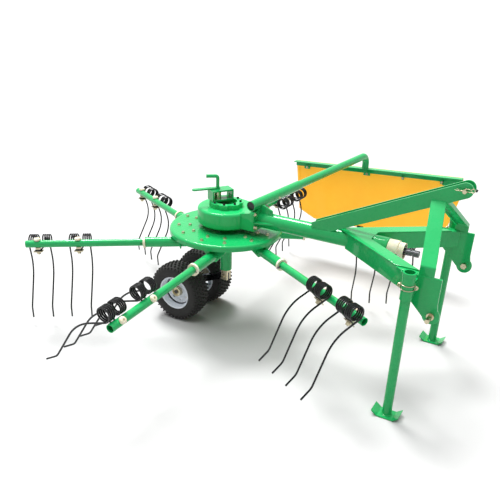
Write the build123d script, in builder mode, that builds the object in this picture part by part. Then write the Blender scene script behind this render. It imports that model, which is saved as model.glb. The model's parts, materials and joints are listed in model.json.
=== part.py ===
"""Mounted rotary hay rake: one rotor of six tine arms behind a three-point hitch, parked on its stands.

Sizes are in millimetres. X points forward to the hitch, Y to the left, Z up from the floor.
Every piece is modelled about the rotor's upright axis and then moved to the middle of the machine.
"""
import os
from math import atan2, cos, degrees, hypot, radians, sin, tan

from build123d import *

# Whole machine
MIDDLE_X, MIDDLE_Y = 138.45, 32.3  # middle of the footprint, measured from the rotor's axis
FIT = 0.5  # gap around a shaft, pin or slider
SEAT = 6  # gap between pieces that move past each other

# Drive line
DRIVE_Z = 700  # height of the drive tube's axis
DRIVE_R, DRIVE_WALL = 44.5, 5
FLANGE_X, FLANGE_THICK = 208, 12
FLANGE_HALF, FLANGE_LOW, FLANGE_HIGH = 88, 648, 762
GUSSET_LONG, GUSSET_THICK = 120, 8
DRIVE_END_X = 905
BEARING_R, BEARING_LONG = 52, 80
GUARD_R, GUARD_WALL, GUARD_LONG, GUARD_STEP = 48.5, 4, 84, 6
SHAFT_R, SHAFT_OUT = 17.5, 75  # the splined end stands this far out of the guard

# Rotor
DISC_R, DISC_TOP, DISC_THICK, RIM_DEEP, RIM_ROUND = 332, 615, 6, 32, 16
HUB_R, HUB_LOW = 85, 545
ARM_COUNT, ARM_FIRST = 6, 32  # the first arm's heading, degrees from forward
ARM_OFFSET = 73.6  # each arm's line passes the rotor's axis by this much
ARM_R, ARM_WALL, ARM_START, ARM_END = 21, 3.5, 300, 1156
ARM_ROOT_Z, ARM_DROOP = 547, 1.75
SOCKET_R, SOCKET_START, SOCKET_END = 29, 150, 468
BRACKET_IN, BRACKET_WIDE, BRACKET_TALL = 70, 44, 90  # a bracket ends this far inside the disc's edge
END_PLATE_WIDE, END_PLATE_LOW, END_PLATE_TIP, END_PLATE_THICK = 150, 38, 34, 8
COLLAR_R, COLLAR_LONG = 34, 13
ARM_ROLL = (-6, -6, -5, -6, 53, 49)  # how far each arm's tines are swung up behind it, degrees
ARM_SPLAY = (38, 38, 38, 38, 52, 46)  # how far each arm's tine tips lean outward

# Spring tines, in an arm's own frame: behind, down, outward
TINE_BOLTS = (857, 1090)
WIRE_R = 4.5
COIL_R, COIL_BEHIND, COIL_LONG, COIL_MID = 41, 66, 46, 45
LEG_OUT = 61
BED = 0.5  # how far a leg's wire lies inside the coil's wall
NIP = 0.4  # gap between a clamp and what it grips
LEG_BEND_1, LEG_BEND_2, LEG_TIP = (97, 165), (10, 395), (36, 470)
LEG_FILLET = 80
BOLT_R, BOLT_TOP, BOLT_LOW = 6, 34, 62
CLAMP_WIDE, CLAMP_LONG, CLAMP_THICK = 40, 50, 5

# Gearbox and height crank
BOX_R, BOX_LOW, BOX_EDGE, BOX_TOP, BOX_ROUND = 167, 642, 10, 738, 16
NECK_BACK, NECK_TOP = 95, 738
RING_R, RING_BORE, RING_TOP = 98, 62, 765
SCALLOPS, SCALLOP_R, SCALLOP_DEEP = 8, 20, 10
SCREW_X, SCREW_Y, SCREW_R = -59, -1, 20
YOKE_X, YOKE_Y = -44, 7
YOKE_TURN, YOKE_LONG, YOKE_DEEP, YOKE_THICK, YOKE_TOP = 57, 131, 78, 9, 828
YOKE_HOLE_R = 7
CRANK_R, CRANK_TOP, GRIP_LONG, GRIP_HEADING = 10, 901, 66, 216
LEVER_LONG, LEVER_WIDE, LEVER_THICK, LEVER_HEADING = 140, 28, 8, 232

# Wheel carriage
COLUMN_R, COLUMN_LOW = 36, 336
POST_R, POST_TOP = 24, 540
CLEVIS_LONG, CLEVIS_WIDE, CLEVIS_TALL, TONGUE_THICK, CLEVIS_PIN_R = 40, 46, 62, 16, 6
BEAM_WIDE, BEAM_TALL = 46, 46
WHEEL_X, WHEEL_Y, TYRE_R, TYRE_WIDE, RIM_R = -250, 137, 183, 150, 96
TYRE_ROUND = 0.44  # corner radius of the tyre's section, as a share of its height
RIM_LIP, RIM_HALF, DISH_IN, HUB_OUT, HUB_RAD = 8, 54, 12, 44, 31
AXLE_R = 12.5

# Hitch
LEG_TALL, LEG_WIDE, APEX_X = 90, 70, 715
WEB_THICK, WEB_NOSE, WEB_NOTCH, WEB_REACH = 6, 15, 2, 300
PLATE_Y, PLATE_THICK, PLATE_BACK, PLATE_FRONT = 341.5, 12, 1150, 1340
PLATE_TOP, PLATE_LOW, PLATE_NECK = 745, 672, 618
PIN_X, PIN_Z, PIN_R, PIN_OUT, EYE_R = 1318, 557, 11, 62, 41
PIN_COLLAR_R, PIN_COLLAR_LONG, PIN_NUT_R, PIN_NUT_LONG, PIN_HOLE_R, PIN_HOLE_IN = 18, 8, 17, 14, 5.5, 10
CHEEK_Y, CHEEK_THICK, CHEEK_WIDE = 27, 10, 74
CHEEK_FOOT_X, CHEEK_FOOT_UP, TOP_X, TOP_Z = 557, 18.5, 1310, 1068
TOP_PIN_R, TOP_PIN_OUT = 9.5, 22
STRUT_WIDE, STRUT_THICK, STRUT_FOLD = 70, 8, 20
STRUT_BELOW, STRUT_BACK = 66, 112  # the strut's top, below and behind the top link pin
STRUT_KNEE_UP, STRUT_FOOT_BACK = 46, 50  # the knee over the plate, and the foot behind the lower pin

# Parking stands
STAND_X, STAND_Y = 1212, 421
STAND_SOCKET_R, STAND_SOCKET_LOW, STAND_SOCKET_TOP = 29, 651, 785
SOCKET_BEAD, SOCKET_BEAD_TALL, BRIDGE_LONG, BRIDGE_TALL, BRIDGE_UP = 2, 20, 44, 72, 8
STAND_R, STAND_TOP = 23.5, 770
FOOT_LONG, FOOT_WIDE, FOOT_THICK, FOOT_RISE, FOOT_FLAP = 140, 80, 8, 24, 28

# Curtain
CURTAIN_START = (205, -75, 792)
CURTAIN_BEND = (384, 1246, 832)
SLEEVE_R, SLEEVE_LONG, CURTAIN_R, CURTAIN_ROUND = 28, 470, 24, 60
SLEEVE_SADDLE, ARM_TAIL = 72, 150
RAIL_TILT, RAIL_BACK, RAIL_FRONT, RAIL_TALL, RAIL_THICK = 3.2, 551, 681, 40, 6
RAIL_DROP = 113
SHEET_THICK, SHEET_DEEP, SHEET_SAG_AT = 4, 435, 40
SHEET_FRONT_STEP, SHEET_FRONT_CUT, SHEET_FRONT_DEEP = 110, 80, 385
SHEET_BACK_CUT, SHEET_BACK_SLANT, SHEET_BACK_STEP, SHEET_BACK_DEEP = 160, 30, 350, 415

os.makedirs("parts", exist_ok=True)


def save(piece, label):
    """Moves a finished piece from the rotor's axis to the middle of the machine and writes it."""
    placed = piece.part.moved(Location((-MIDDLE_X, -MIDDLE_Y, 0)))
    placed.label = label
    export_step(placed, f"parts/{label}.step")


def arm_plane(number, roll=0):
    """Frame of one arm: x behind it, y down, z outward along the tube."""
    heading = radians(ARM_FIRST + number * 360 / ARM_COUNT)
    droop = radians(ARM_DROOP)
    behind = Vector(sin(heading), -cos(heading), 0)
    outward = Vector(cos(heading) * cos(droop), sin(heading) * cos(droop), -sin(droop))
    upward = Vector(cos(heading) * sin(droop), sin(heading) * sin(droop), cos(droop))
    root = (-ARM_OFFSET * sin(heading), ARM_OFFSET * cos(heading), ARM_ROOT_Z)
    swung = behind * cos(radians(roll)) + upward * sin(radians(roll))
    return Plane(origin=root, x_dir=swung, z_dir=outward)


# Gearbox housing: a flat drum casting with a scalloped bolt ring and a square input neck with its flange
with BuildPart() as gearbox_housing:
    with BuildSketch(Plane.XZ):
        with BuildLine():
            Polyline(
                (COLUMN_R, BOX_LOW),
                (BOX_R - BOX_EDGE, BOX_LOW),
                (BOX_R, BOX_LOW + BOX_EDGE),
                (BOX_R, BOX_TOP),
                (RING_R, BOX_TOP),
                (RING_R, RING_TOP),
                (RING_BORE, RING_TOP),
                (RING_BORE, BOX_TOP),
                (COLUMN_R, BOX_TOP),
                close=True,
            )
        make_face()
        fillet(vertices().sort_by(Axis.X)[-2:].sort_by(Axis.Y)[-1], BOX_ROUND)
    revolve(axis=Axis.Z)
    with BuildSketch(Plane.XY.offset(BOX_TOP)):
        with PolarLocations(RING_R + SCALLOP_R - SCALLOP_DEEP, SCALLOPS):
            Circle(SCALLOP_R)
    extrude(amount=RING_TOP - BOX_TOP, mode=Mode.SUBTRACT)
    with BuildSketch(Plane.XZ.offset(-FLANGE_HALF + BOX_EDGE)):
        with BuildLine():
            Polyline(
                (NECK_BACK, FLANGE_LOW),
                (FLANGE_X, FLANGE_LOW),
                (FLANGE_X, FLANGE_HIGH - BOX_EDGE),
                (NECK_BACK, NECK_TOP - BOX_EDGE),
                close=True,
            )
        make_face()
    extrude(amount=2 * (FLANGE_HALF - BOX_EDGE))
    with BuildSketch(Plane.YZ.offset(FLANGE_X)):
        with Locations((0, (FLANGE_LOW + FLANGE_HIGH) / 2)):
            RectangleRounded(2 * FLANGE_HALF, FLANGE_HIGH - FLANGE_LOW, 12)
    extrude(amount=FLANGE_THICK)
save(gearbox_housing, "gearbox_housing")

# Column: the fixed tube that the rotor turns on, with the bore that the wheel post slides in
with BuildPart() as column:
    with BuildSketch(Plane.XY.offset(COLUMN_LOW)):
        Circle(COLUMN_R)
    extrude(amount=BOX_TOP - COLUMN_LOW)
    with BuildSketch(Plane.XY.offset(COLUMN_LOW)):
        Circle(POST_R + FIT)
    extrude(amount=POST_TOP + SEAT - COLUMN_LOW, mode=Mode.SUBTRACT)
save(column, "column")

# Crank yoke: a box frame that stands on the ring and carries the height screw
yoke_plane = Plane((YOKE_X, YOKE_Y, RING_TOP), x_dir=(cos(radians(YOKE_TURN)), sin(radians(YOKE_TURN)), 0))
screw_plane = Plane((SCREW_X, SCREW_Y, RING_TOP))
yoke_tall = YOKE_TOP - RING_TOP
with BuildPart() as crank_yoke:
    with BuildSketch(yoke_plane):
        Rectangle(YOKE_LONG, YOKE_DEEP)
    extrude(amount=yoke_tall)
    with BuildSketch(yoke_plane.offset(YOKE_THICK)):
        Rectangle(YOKE_LONG - 2 * YOKE_THICK, 2 * YOKE_DEEP)
    extrude(amount=yoke_tall - 2 * YOKE_THICK, mode=Mode.SUBTRACT)
    with BuildSketch(screw_plane):
        Circle(CRANK_R + FIT)
    extrude(amount=yoke_tall, mode=Mode.SUBTRACT)
    hole_at = yoke_plane.origin + yoke_plane.z_dir * (YOKE_THICK + 2 * YOKE_HOLE_R)
    with BuildSketch(Plane(hole_at, z_dir=yoke_plane.x_dir)):
        Circle(YOKE_HOLE_R)
    extrude(amount=YOKE_LONG, mode=Mode.SUBTRACT)
save(crank_yoke, "crank_yoke")

# Height screw inside the yoke
with BuildPart() as height_screw:
    with BuildSketch(screw_plane.offset(YOKE_THICK)):
        Circle(SCREW_R)
    extrude(amount=yoke_tall - 2 * YOKE_THICK)
save(height_screw, "height_screw")

# Crank: the bent handle over the screw and its flat locking lever
with BuildPart() as crank:
    with BuildLine() as crank_path:
        FilletPolyline(
            (SCREW_X, SCREW_Y, YOKE_TOP - YOKE_THICK),
            (SCREW_X, SCREW_Y, CRANK_TOP),
            (
                SCREW_X + GRIP_LONG * cos(radians(GRIP_HEADING)),
                SCREW_Y + GRIP_LONG * sin(radians(GRIP_HEADING)),
                CRANK_TOP,
            ),
            radius=1.2 * CRANK_R,
        )
    with BuildSketch(Plane((SCREW_X, SCREW_Y, YOKE_TOP - YOKE_THICK))):
        Circle(CRANK_R)
    sweep(path=crank_path.line)
    lever_x = (cos(radians(LEVER_HEADING)), sin(radians(LEVER_HEADING)), 0)
    with BuildSketch(Plane((SCREW_X, SCREW_Y, YOKE_TOP), x_dir=lever_x)):
        with Locations((LEVER_LONG / 2, 0)):
            SlotCenterToCenter(LEVER_LONG, LEVER_WIDE)
    extrude(amount=LEVER_THICK)
save(crank, "crank")

# Drive tube: flanged pipe from the gearbox to the input bearing, with gussets behind the flange
with BuildPart() as drive_tube:
    with BuildSketch(Plane.YZ.offset(FLANGE_X + FLANGE_THICK)):
        with Locations((0, (FLANGE_LOW + FLANGE_HIGH) / 2)):
            RectangleRounded(2 * FLANGE_HALF, FLANGE_HIGH - FLANGE_LOW, 12)
    extrude(amount=FLANGE_THICK)
    with BuildSketch(Plane.YZ.offset(FLANGE_X + FLANGE_THICK)):
        with Locations((0, DRIVE_Z)):
            Circle(DRIVE_R)
    extrude(amount=DRIVE_END_X - FLANGE_X - FLANGE_THICK)
    with BuildSketch(Plane.XY.offset(DRIVE_Z - GUSSET_THICK / 2)):
        with BuildLine():
            Polyline(
                (FLANGE_X + 2 * FLANGE_THICK, FLANGE_HALF - 8),
                (FLANGE_X + 2 * FLANGE_THICK + GUSSET_LONG, DRIVE_R - 4),
                (FLANGE_X + 2 * FLANGE_THICK + GUSSET_LONG, 4 - DRIVE_R),
                (FLANGE_X + 2 * FLANGE_THICK, 8 - FLANGE_HALF),
                close=True,
            )
        make_face()
    extrude(amount=GUSSET_THICK)
    with BuildSketch(Plane.XZ.offset(-GUSSET_THICK / 2)):
        with BuildLine():
            Polyline(
                (FLANGE_X + 2 * FLANGE_THICK, DRIVE_Z),
                (FLANGE_X + 2 * FLANGE_THICK, FLANGE_HIGH - 4),
                (FLANGE_X + 2 * FLANGE_THICK + GUSSET_LONG, DRIVE_Z + DRIVE_R - 4),
                (FLANGE_X + 2 * FLANGE_THICK + GUSSET_LONG, DRIVE_Z),
                close=True,
            )
        make_face()
    extrude(amount=GUSSET_THICK)
    with BuildSketch(Plane.YZ.offset(FLANGE_X)):
        with Locations((0, DRIVE_Z)):
            Circle(DRIVE_R - DRIVE_WALL)
    extrude(amount=DRIVE_END_X - FLANGE_X, mode=Mode.SUBTRACT)
save(drive_tube, "drive_tube")

# Input bearing housing, plastic guard bell and splined input shaft
bearing_end = DRIVE_END_X + BEARING_LONG
guard_end = bearing_end + GUARD_LONG
with BuildPart() as input_bearing:
    with BuildSketch(Plane.YZ.offset(DRIVE_END_X)):
        with Locations((0, DRIVE_Z)):
            Circle(BEARING_R)
            Circle(SHAFT_R + FIT, mode=Mode.SUBTRACT)
    extrude(amount=BEARING_LONG)
    chamfer(input_bearing.edges().group_by(Axis.X)[-1].sort_by(SortBy.LENGTH)[-1], BEARING_LONG / 16)
save(input_bearing, "input_bearing")

with BuildPart() as pto_guard:
    with BuildSketch(Plane.XZ):
        with BuildLine():
            Polyline(
                (bearing_end, DRIVE_Z + SHAFT_R + SEAT),
                (bearing_end, DRIVE_Z + GUARD_R),
                (bearing_end + 0.62 * GUARD_LONG, DRIVE_Z + GUARD_R),
                (bearing_end + 0.66 * GUARD_LONG, DRIVE_Z + GUARD_R - GUARD_STEP),
                (guard_end, DRIVE_Z + GUARD_R - GUARD_STEP),
                (guard_end, DRIVE_Z + GUARD_R - GUARD_STEP - GUARD_WALL),
                (bearing_end + GUARD_WALL, DRIVE_Z + GUARD_R - GUARD_STEP - GUARD_WALL),
                (bearing_end + GUARD_WALL, DRIVE_Z + SHAFT_R + SEAT),
                close=True,
            )
        make_face()
    revolve(axis=Axis((0, 0, DRIVE_Z), (1, 0, 0)))
    with Locations(Location((bearing_end + 0.55 * GUARD_LONG, -GUARD_R, DRIVE_Z - GUARD_R / 4))):
        Box(GUARD_LONG / 4, GUARD_R, GUARD_R / 3, mode=Mode.SUBTRACT)
save(pto_guard, "pto_guard")

with BuildPart() as input_shaft:
    with BuildSketch(Plane.YZ.offset(DRIVE_END_X)):
        with Locations((0, DRIVE_Z)):
            Circle(SHAFT_R)
            with PolarLocations(SHAFT_R, 6):
                Rectangle(5, 8, mode=Mode.SUBTRACT)
    extrude(amount=BEARING_LONG + GUARD_LONG + SHAFT_OUT)
    with BuildSketch(Plane.YZ.offset(guard_end + SHAFT_OUT / 2)):
        with Locations((0, DRIVE_Z)):
            Circle(2 * SHAFT_R)
            Circle(SHAFT_R - 3, mode=Mode.SUBTRACT)
    extrude(amount=SHAFT_OUT / 8, mode=Mode.SUBTRACT)
save(input_shaft, "input_shaft")

# V frame: two box legs that spread from the drive tube to the hitch plates, under one notched web
leg_y = PLATE_Y - PLATE_THICK
leg_spread = (PLATE_BACK - APEX_X) / leg_y  # how far a leg runs forward for each millimetre outward
leg_across = LEG_WIDE * hypot(1, leg_spread)
for side, label in ((-1, "v_leg_right"), (1, "v_leg_left")):
    with BuildPart() as v_leg:
        with BuildSketch(Plane.XY.offset(DRIVE_Z - LEG_TALL / 2)):
            with BuildLine():
                Polyline(
                    (APEX_X, 0),
                    (APEX_X + leg_across, 0),
                    (PLATE_BACK + leg_across, side * leg_y),
                    (PLATE_BACK, side * leg_y),
                    close=True,
                )
            make_face()
        extrude(amount=LEG_TALL)
        with BuildSketch(Plane.YZ.offset(APEX_X - 1)):
            with Locations((0, DRIVE_Z)):
                Circle(DRIVE_R)
                Rectangle(1.5 * DRIVE_R, 2 * LEG_TALL)
        extrude(amount=PLATE_BACK - APEX_X, mode=Mode.SUBTRACT)
    save(v_leg, label)

with BuildPart() as v_web:
    with BuildSketch(Plane.XY.offset(DRIVE_Z + LEG_TALL / 2)):
        with BuildLine():
            notch_x = DRIVE_END_X - WEB_NOTCH
            notch_y = (notch_x - APEX_X - leg_across) / leg_spread
            reach_x = APEX_X + WEB_REACH * leg_spread
            Polyline(
                (APEX_X - WEB_NOSE, 0),
                (reach_x, -WEB_REACH),
                (reach_x + leg_across, -WEB_REACH),
                (notch_x, -notch_y),
                (notch_x, notch_y),
                (reach_x + leg_across, WEB_REACH),
                (reach_x, WEB_REACH),
                close=True,
            )
        make_face()
        fillet([v for v in vertices() if abs(v.X - notch_x) < 1], notch_y / 3)
    extrude(amount=WEB_THICK)
save(v_web, "v_web")

# Hitch plates with the lower link pins
for side, name in ((-1, "right"), (1, "left")):
    with BuildPart() as hitch_plate:
        with BuildSketch(Plane.XZ.offset(-side * PLATE_Y)):
            with BuildLine():
                Polyline(
                    (PLATE_BACK, PLATE_TOP),
                    (PLATE_FRONT, PLATE_TOP),
                    (PLATE_FRONT, PLATE_NECK),
                    (PIN_X + 0.8 * EYE_R, PIN_Z),
                    (PIN_X - 0.62 * EYE_R, PIN_Z - 0.62 * EYE_R),
                    (PLATE_BACK, PLATE_LOW),
                    close=True,
                )
            make_face()
            with Locations((PIN_X, PIN_Z)):
                Circle(EYE_R)
                Circle(PIN_R, mode=Mode.SUBTRACT)
        extrude(amount=side * PLATE_THICK)
    save(hitch_plate, f"hitch_plate_{name}")
    with BuildPart() as lower_pin:
        with BuildSketch(Plane.XZ.offset(-side * (PLATE_Y - PLATE_THICK - PIN_NUT_LONG))):
            with Locations((PIN_X, PIN_Z)):
                Circle(PIN_R)
        extrude(amount=-side * (PLATE_THICK + PIN_NUT_LONG + PIN_OUT))
        with BuildSketch(Plane.XZ.offset(-side * (PLATE_Y - PLATE_THICK))):
            with Locations((PIN_X, PIN_Z)):
                RegularPolygon(PIN_NUT_R, 6)
        extrude(amount=side * PIN_NUT_LONG)
        with BuildSketch(Plane.XZ.offset(-side * PLATE_Y)):
            with Locations((PIN_X, PIN_Z)):
                Circle(PIN_COLLAR_R)
        extrude(amount=-side * PIN_COLLAR_LONG)
        with Locations((PIN_X, side * (PLATE_Y + PIN_OUT - PIN_HOLE_IN), PIN_Z)):
            Cylinder(PIN_HOLE_R, 4 * PIN_R, mode=Mode.SUBTRACT)
    save(lower_pin, f"lower_pin_{name}")

# Mast: two flat cheeks that slope up from the drive tube to the top link pin, and the struts that hold them
cheek_slope = atan2(TOP_Z - DRIVE_Z - CHEEK_FOOT_UP, TOP_X - CHEEK_FOOT_X)
cheek_run = TOP_X - CHEEK_FOOT_X + CHEEK_WIDE
cheek_long = cheek_run / cos(cheek_slope)
cheek_rise = cheek_run * tan(cheek_slope)
knee = (PIN_X - STRUT_FOOT_BACK, PLATE_Y - (PLATE_THICK - STRUT_THICK) / 2, PLATE_TOP + STRUT_KNEE_UP)
strut_top = (TOP_X - STRUT_BACK, CHEEK_Y + CHEEK_THICK / 2, TOP_Z - STRUT_BELOW)
for side, name in ((-1, "right"), (1, "left")):
    with BuildPart() as mast_cheek:
        with BuildSketch(Plane.XZ.offset(-side * (CHEEK_Y - CHEEK_THICK / 2))):
            with Locations(Location((TOP_X - cheek_run / 2, TOP_Z - cheek_rise / 2), degrees(cheek_slope))):
                SlotCenterToCenter(cheek_long, CHEEK_WIDE)
            with Locations((TOP_X, TOP_Z)):
                Circle(TOP_PIN_R, mode=Mode.SUBTRACT)
            with Locations((CHEEK_FOOT_X - 2 * CHEEK_WIDE, DRIVE_Z)):
                Rectangle(4 * CHEEK_WIDE, 8 * CHEEK_WIDE, mode=Mode.SUBTRACT)
        extrude(amount=-side * CHEEK_THICK)
        with BuildSketch(Plane.YZ.offset(CHEEK_FOOT_X - 1)):
            with Locations((0, DRIVE_Z)):
                Circle(DRIVE_R)
        extrude(amount=cheek_run, mode=Mode.SUBTRACT)
    save(mast_cheek, f"mast_cheek_{name}")
    fall_y, fall_z = knee[1] - strut_top[1], strut_top[2] - knee[2]
    fall = hypot(fall_y, fall_z)
    lean = strut_top[0] - knee[0]
    upper = Plane((knee[0], side * knee[1], knee[2]), x_dir=(1, 0, 0), z_dir=(0, -side * fall_z, -fall_y))
    up = side  # the upper sheet's own y axis climbs on one side and falls on the other
    with BuildPart() as strut:
        half = STRUT_WIDE / 2
        for inset, start, deep, mode in (
            (0, 0, STRUT_FOLD, Mode.ADD),
            (STRUT_THICK, STRUT_THICK, STRUT_FOLD, Mode.SUBTRACT),
        ):
            with BuildSketch(upper.offset(start)):
                with BuildLine():
                    Polyline(
                        (-half + inset, 0),
                        (half - inset, 0),
                        (half - inset + lean, up * fall),
                        (-half + inset + lean, up * fall),
                        close=True,
                    )
                make_face()
            extrude(amount=deep, mode=mode)
        with BuildSketch(Plane.XZ.offset(-side * knee[1])):
            with Locations((knee[0], (knee[2] + PLATE_TOP) / 2)):
                Rectangle(STRUT_WIDE, knee[2] - PLATE_TOP)
        extrude(amount=side * STRUT_THICK)
        with BuildSketch(Plane.YZ.offset(-2 * TOP_X)):
            with Locations((0, strut_top[2])):
                Rectangle(2 * strut_top[1], 2 * TOP_Z)
        extrude(amount=4 * TOP_X, mode=Mode.SUBTRACT)
        split(bisect_by=Plane.XY.offset(PLATE_TOP), keep=Keep.TOP)
    save(strut, f"strut_{name}")

with BuildPart() as top_pin:
    with BuildSketch(Plane.XZ.offset(-(CHEEK_Y + CHEEK_THICK / 2 + TOP_PIN_OUT))):
        with Locations((TOP_X, TOP_Z)):
            Circle(TOP_PIN_R)
    extrude(amount=2 * CHEEK_Y + CHEEK_THICK + 2 * TOP_PIN_OUT)
save(top_pin, "top_pin")

# Parking stands and the sockets that hold them on the hitch plates
for side, name in ((-1, "right"), (1, "left")):
    with BuildPart() as stand_socket:
        with BuildSketch(Plane.XY.offset(STAND_SOCKET_LOW)):
            with Locations((STAND_X, side * STAND_Y)):
                Circle(STAND_SOCKET_R)
        extrude(amount=STAND_SOCKET_TOP - STAND_SOCKET_LOW)
        with BuildSketch(Plane.XY.offset(STAND_SOCKET_TOP - SOCKET_BEAD_TALL)):
            with Locations((STAND_X, side * STAND_Y)):
                Circle(STAND_SOCKET_R + SOCKET_BEAD)
        extrude(amount=SOCKET_BEAD_TALL)
        with BuildSketch(Plane.XY.offset(STAND_SOCKET_LOW + BRIDGE_UP)):
            with Locations((STAND_X, side * (PLATE_Y + STAND_Y) / 2)):
                Rectangle(BRIDGE_LONG, STAND_Y - PLATE_Y)
        extrude(amount=BRIDGE_TALL)
        with BuildSketch(Plane.XY.offset(STAND_SOCKET_LOW)):
            with Locations((STAND_X, side * STAND_Y)):
                Circle(STAND_R + FIT)
        extrude(amount=STAND_SOCKET_TOP - STAND_SOCKET_LOW, mode=Mode.SUBTRACT)
    save(stand_socket, f"stand_socket_{name}")
    with BuildPart() as stand:
        with BuildSketch(Plane.XY.offset(FOOT_THICK / 2)):
            with Locations((STAND_X, side * STAND_Y)):
                Circle(STAND_R)
        extrude(amount=STAND_TOP - FOOT_THICK / 2)
        with BuildSketch(Plane.XZ.offset(-side * STAND_Y - FOOT_WIDE / 2)):
            with BuildLine():
                Polyline(
                    (STAND_X - FOOT_LONG / 2, FOOT_RISE),
                    (STAND_X - FOOT_LONG / 2 + FOOT_FLAP, 0),
                    (STAND_X + FOOT_LONG / 2 - FOOT_FLAP, 0),
                    (STAND_X + FOOT_LONG / 2, FOOT_RISE),
                    (STAND_X + FOOT_LONG / 2, FOOT_RISE + FOOT_THICK),
                    (STAND_X + FOOT_LONG / 2 - 1.1 * FOOT_FLAP, FOOT_THICK),
                    (STAND_X - FOOT_LONG / 2 + 1.1 * FOOT_FLAP, FOOT_THICK),
                    (STAND_X - FOOT_LONG / 2, FOOT_RISE + FOOT_THICK),
                    close=True,
                )
            make_face()
        extrude(amount=FOOT_WIDE)
    save(stand, f"stand_{name}")

# Rotor disc: a plate with a folded rim on a hub that turns about the column
with BuildPart() as rotor_disc:
    with BuildSketch(Plane.XZ):
        with BuildLine():
            Polyline(
                (COLUMN_R + FIT, HUB_LOW),
                (HUB_R, HUB_LOW),
                (HUB_R, DISC_TOP - DISC_THICK),
                (DISC_R - DISC_THICK, DISC_TOP - DISC_THICK),
                (DISC_R - DISC_THICK, DISC_TOP - RIM_DEEP),
                (DISC_R, DISC_TOP - RIM_DEEP),
                (DISC_R, DISC_TOP),
                (COLUMN_R + FIT, DISC_TOP),
                close=True,
            )
        make_face()
        fillet(vertices().group_by(Axis.Y)[-1].sort_by(Axis.X)[-1], RIM_ROUND)
        inner = [v for v in vertices() if abs(v.X - DISC_R + DISC_THICK) < 1]
        fillet(ShapeList(inner).sort_by(Axis.Y)[-1], RIM_ROUND - DISC_THICK)
    revolve(axis=Axis.Z)
save(rotor_disc, "rotor_disc")

# Arm sockets under the disc
bracket_end = DISC_R - BRACKET_IN
with BuildPart() as arm_sockets:
    for number in range(ARM_COUNT):
        here = arm_plane(number)
        with BuildSketch(here.offset(SOCKET_START)):
            Circle(SOCKET_R)
        extrude(amount=SOCKET_END - SOCKET_START)
        with BuildSketch(here.offset(SOCKET_START)):
            with Locations((0, -BRACKET_TALL / 2)):
                Rectangle(BRACKET_WIDE, BRACKET_TALL)
        extrude(amount=bracket_end - SOCKET_START)
        with BuildSketch(here.offset(bracket_end)):
            with BuildLine():
                Polyline(
                    (-END_PLATE_WIDE / 2, -2 * END_PLATE_LOW),
                    (END_PLATE_WIDE / 2, -2 * END_PLATE_LOW),
                    (END_PLATE_WIDE / 2, -0.7 * END_PLATE_LOW),
                    (END_PLATE_TIP / 2, END_PLATE_LOW),
                    (-END_PLATE_TIP / 2, END_PLATE_LOW),
                    (-END_PLATE_WIDE / 2, -0.7 * END_PLATE_LOW),
                    close=True,
                )
            make_face()
        extrude(amount=END_PLATE_THICK)
        with BuildSketch(here.offset(ARM_START - 20)):
            Circle(ARM_R + FIT)
        extrude(amount=SOCKET_END - ARM_START + 20, mode=Mode.SUBTRACT)
    split(bisect_by=Plane.XY.offset(DISC_TOP - DISC_THICK), keep=Keep.BOTTOM)
save(arm_sockets, "arm_sockets")

# Plastic collars where the arms leave their sockets
with BuildPart() as arm_collars:
    for number in range(ARM_COUNT):
        with BuildSketch(arm_plane(number).offset(SOCKET_END + NIP)):
            Circle(COLLAR_R)
            Circle(ARM_R + NIP, mode=Mode.SUBTRACT)
        extrude(amount=COLLAR_LONG)
save(arm_collars, "arm_collars")

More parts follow.
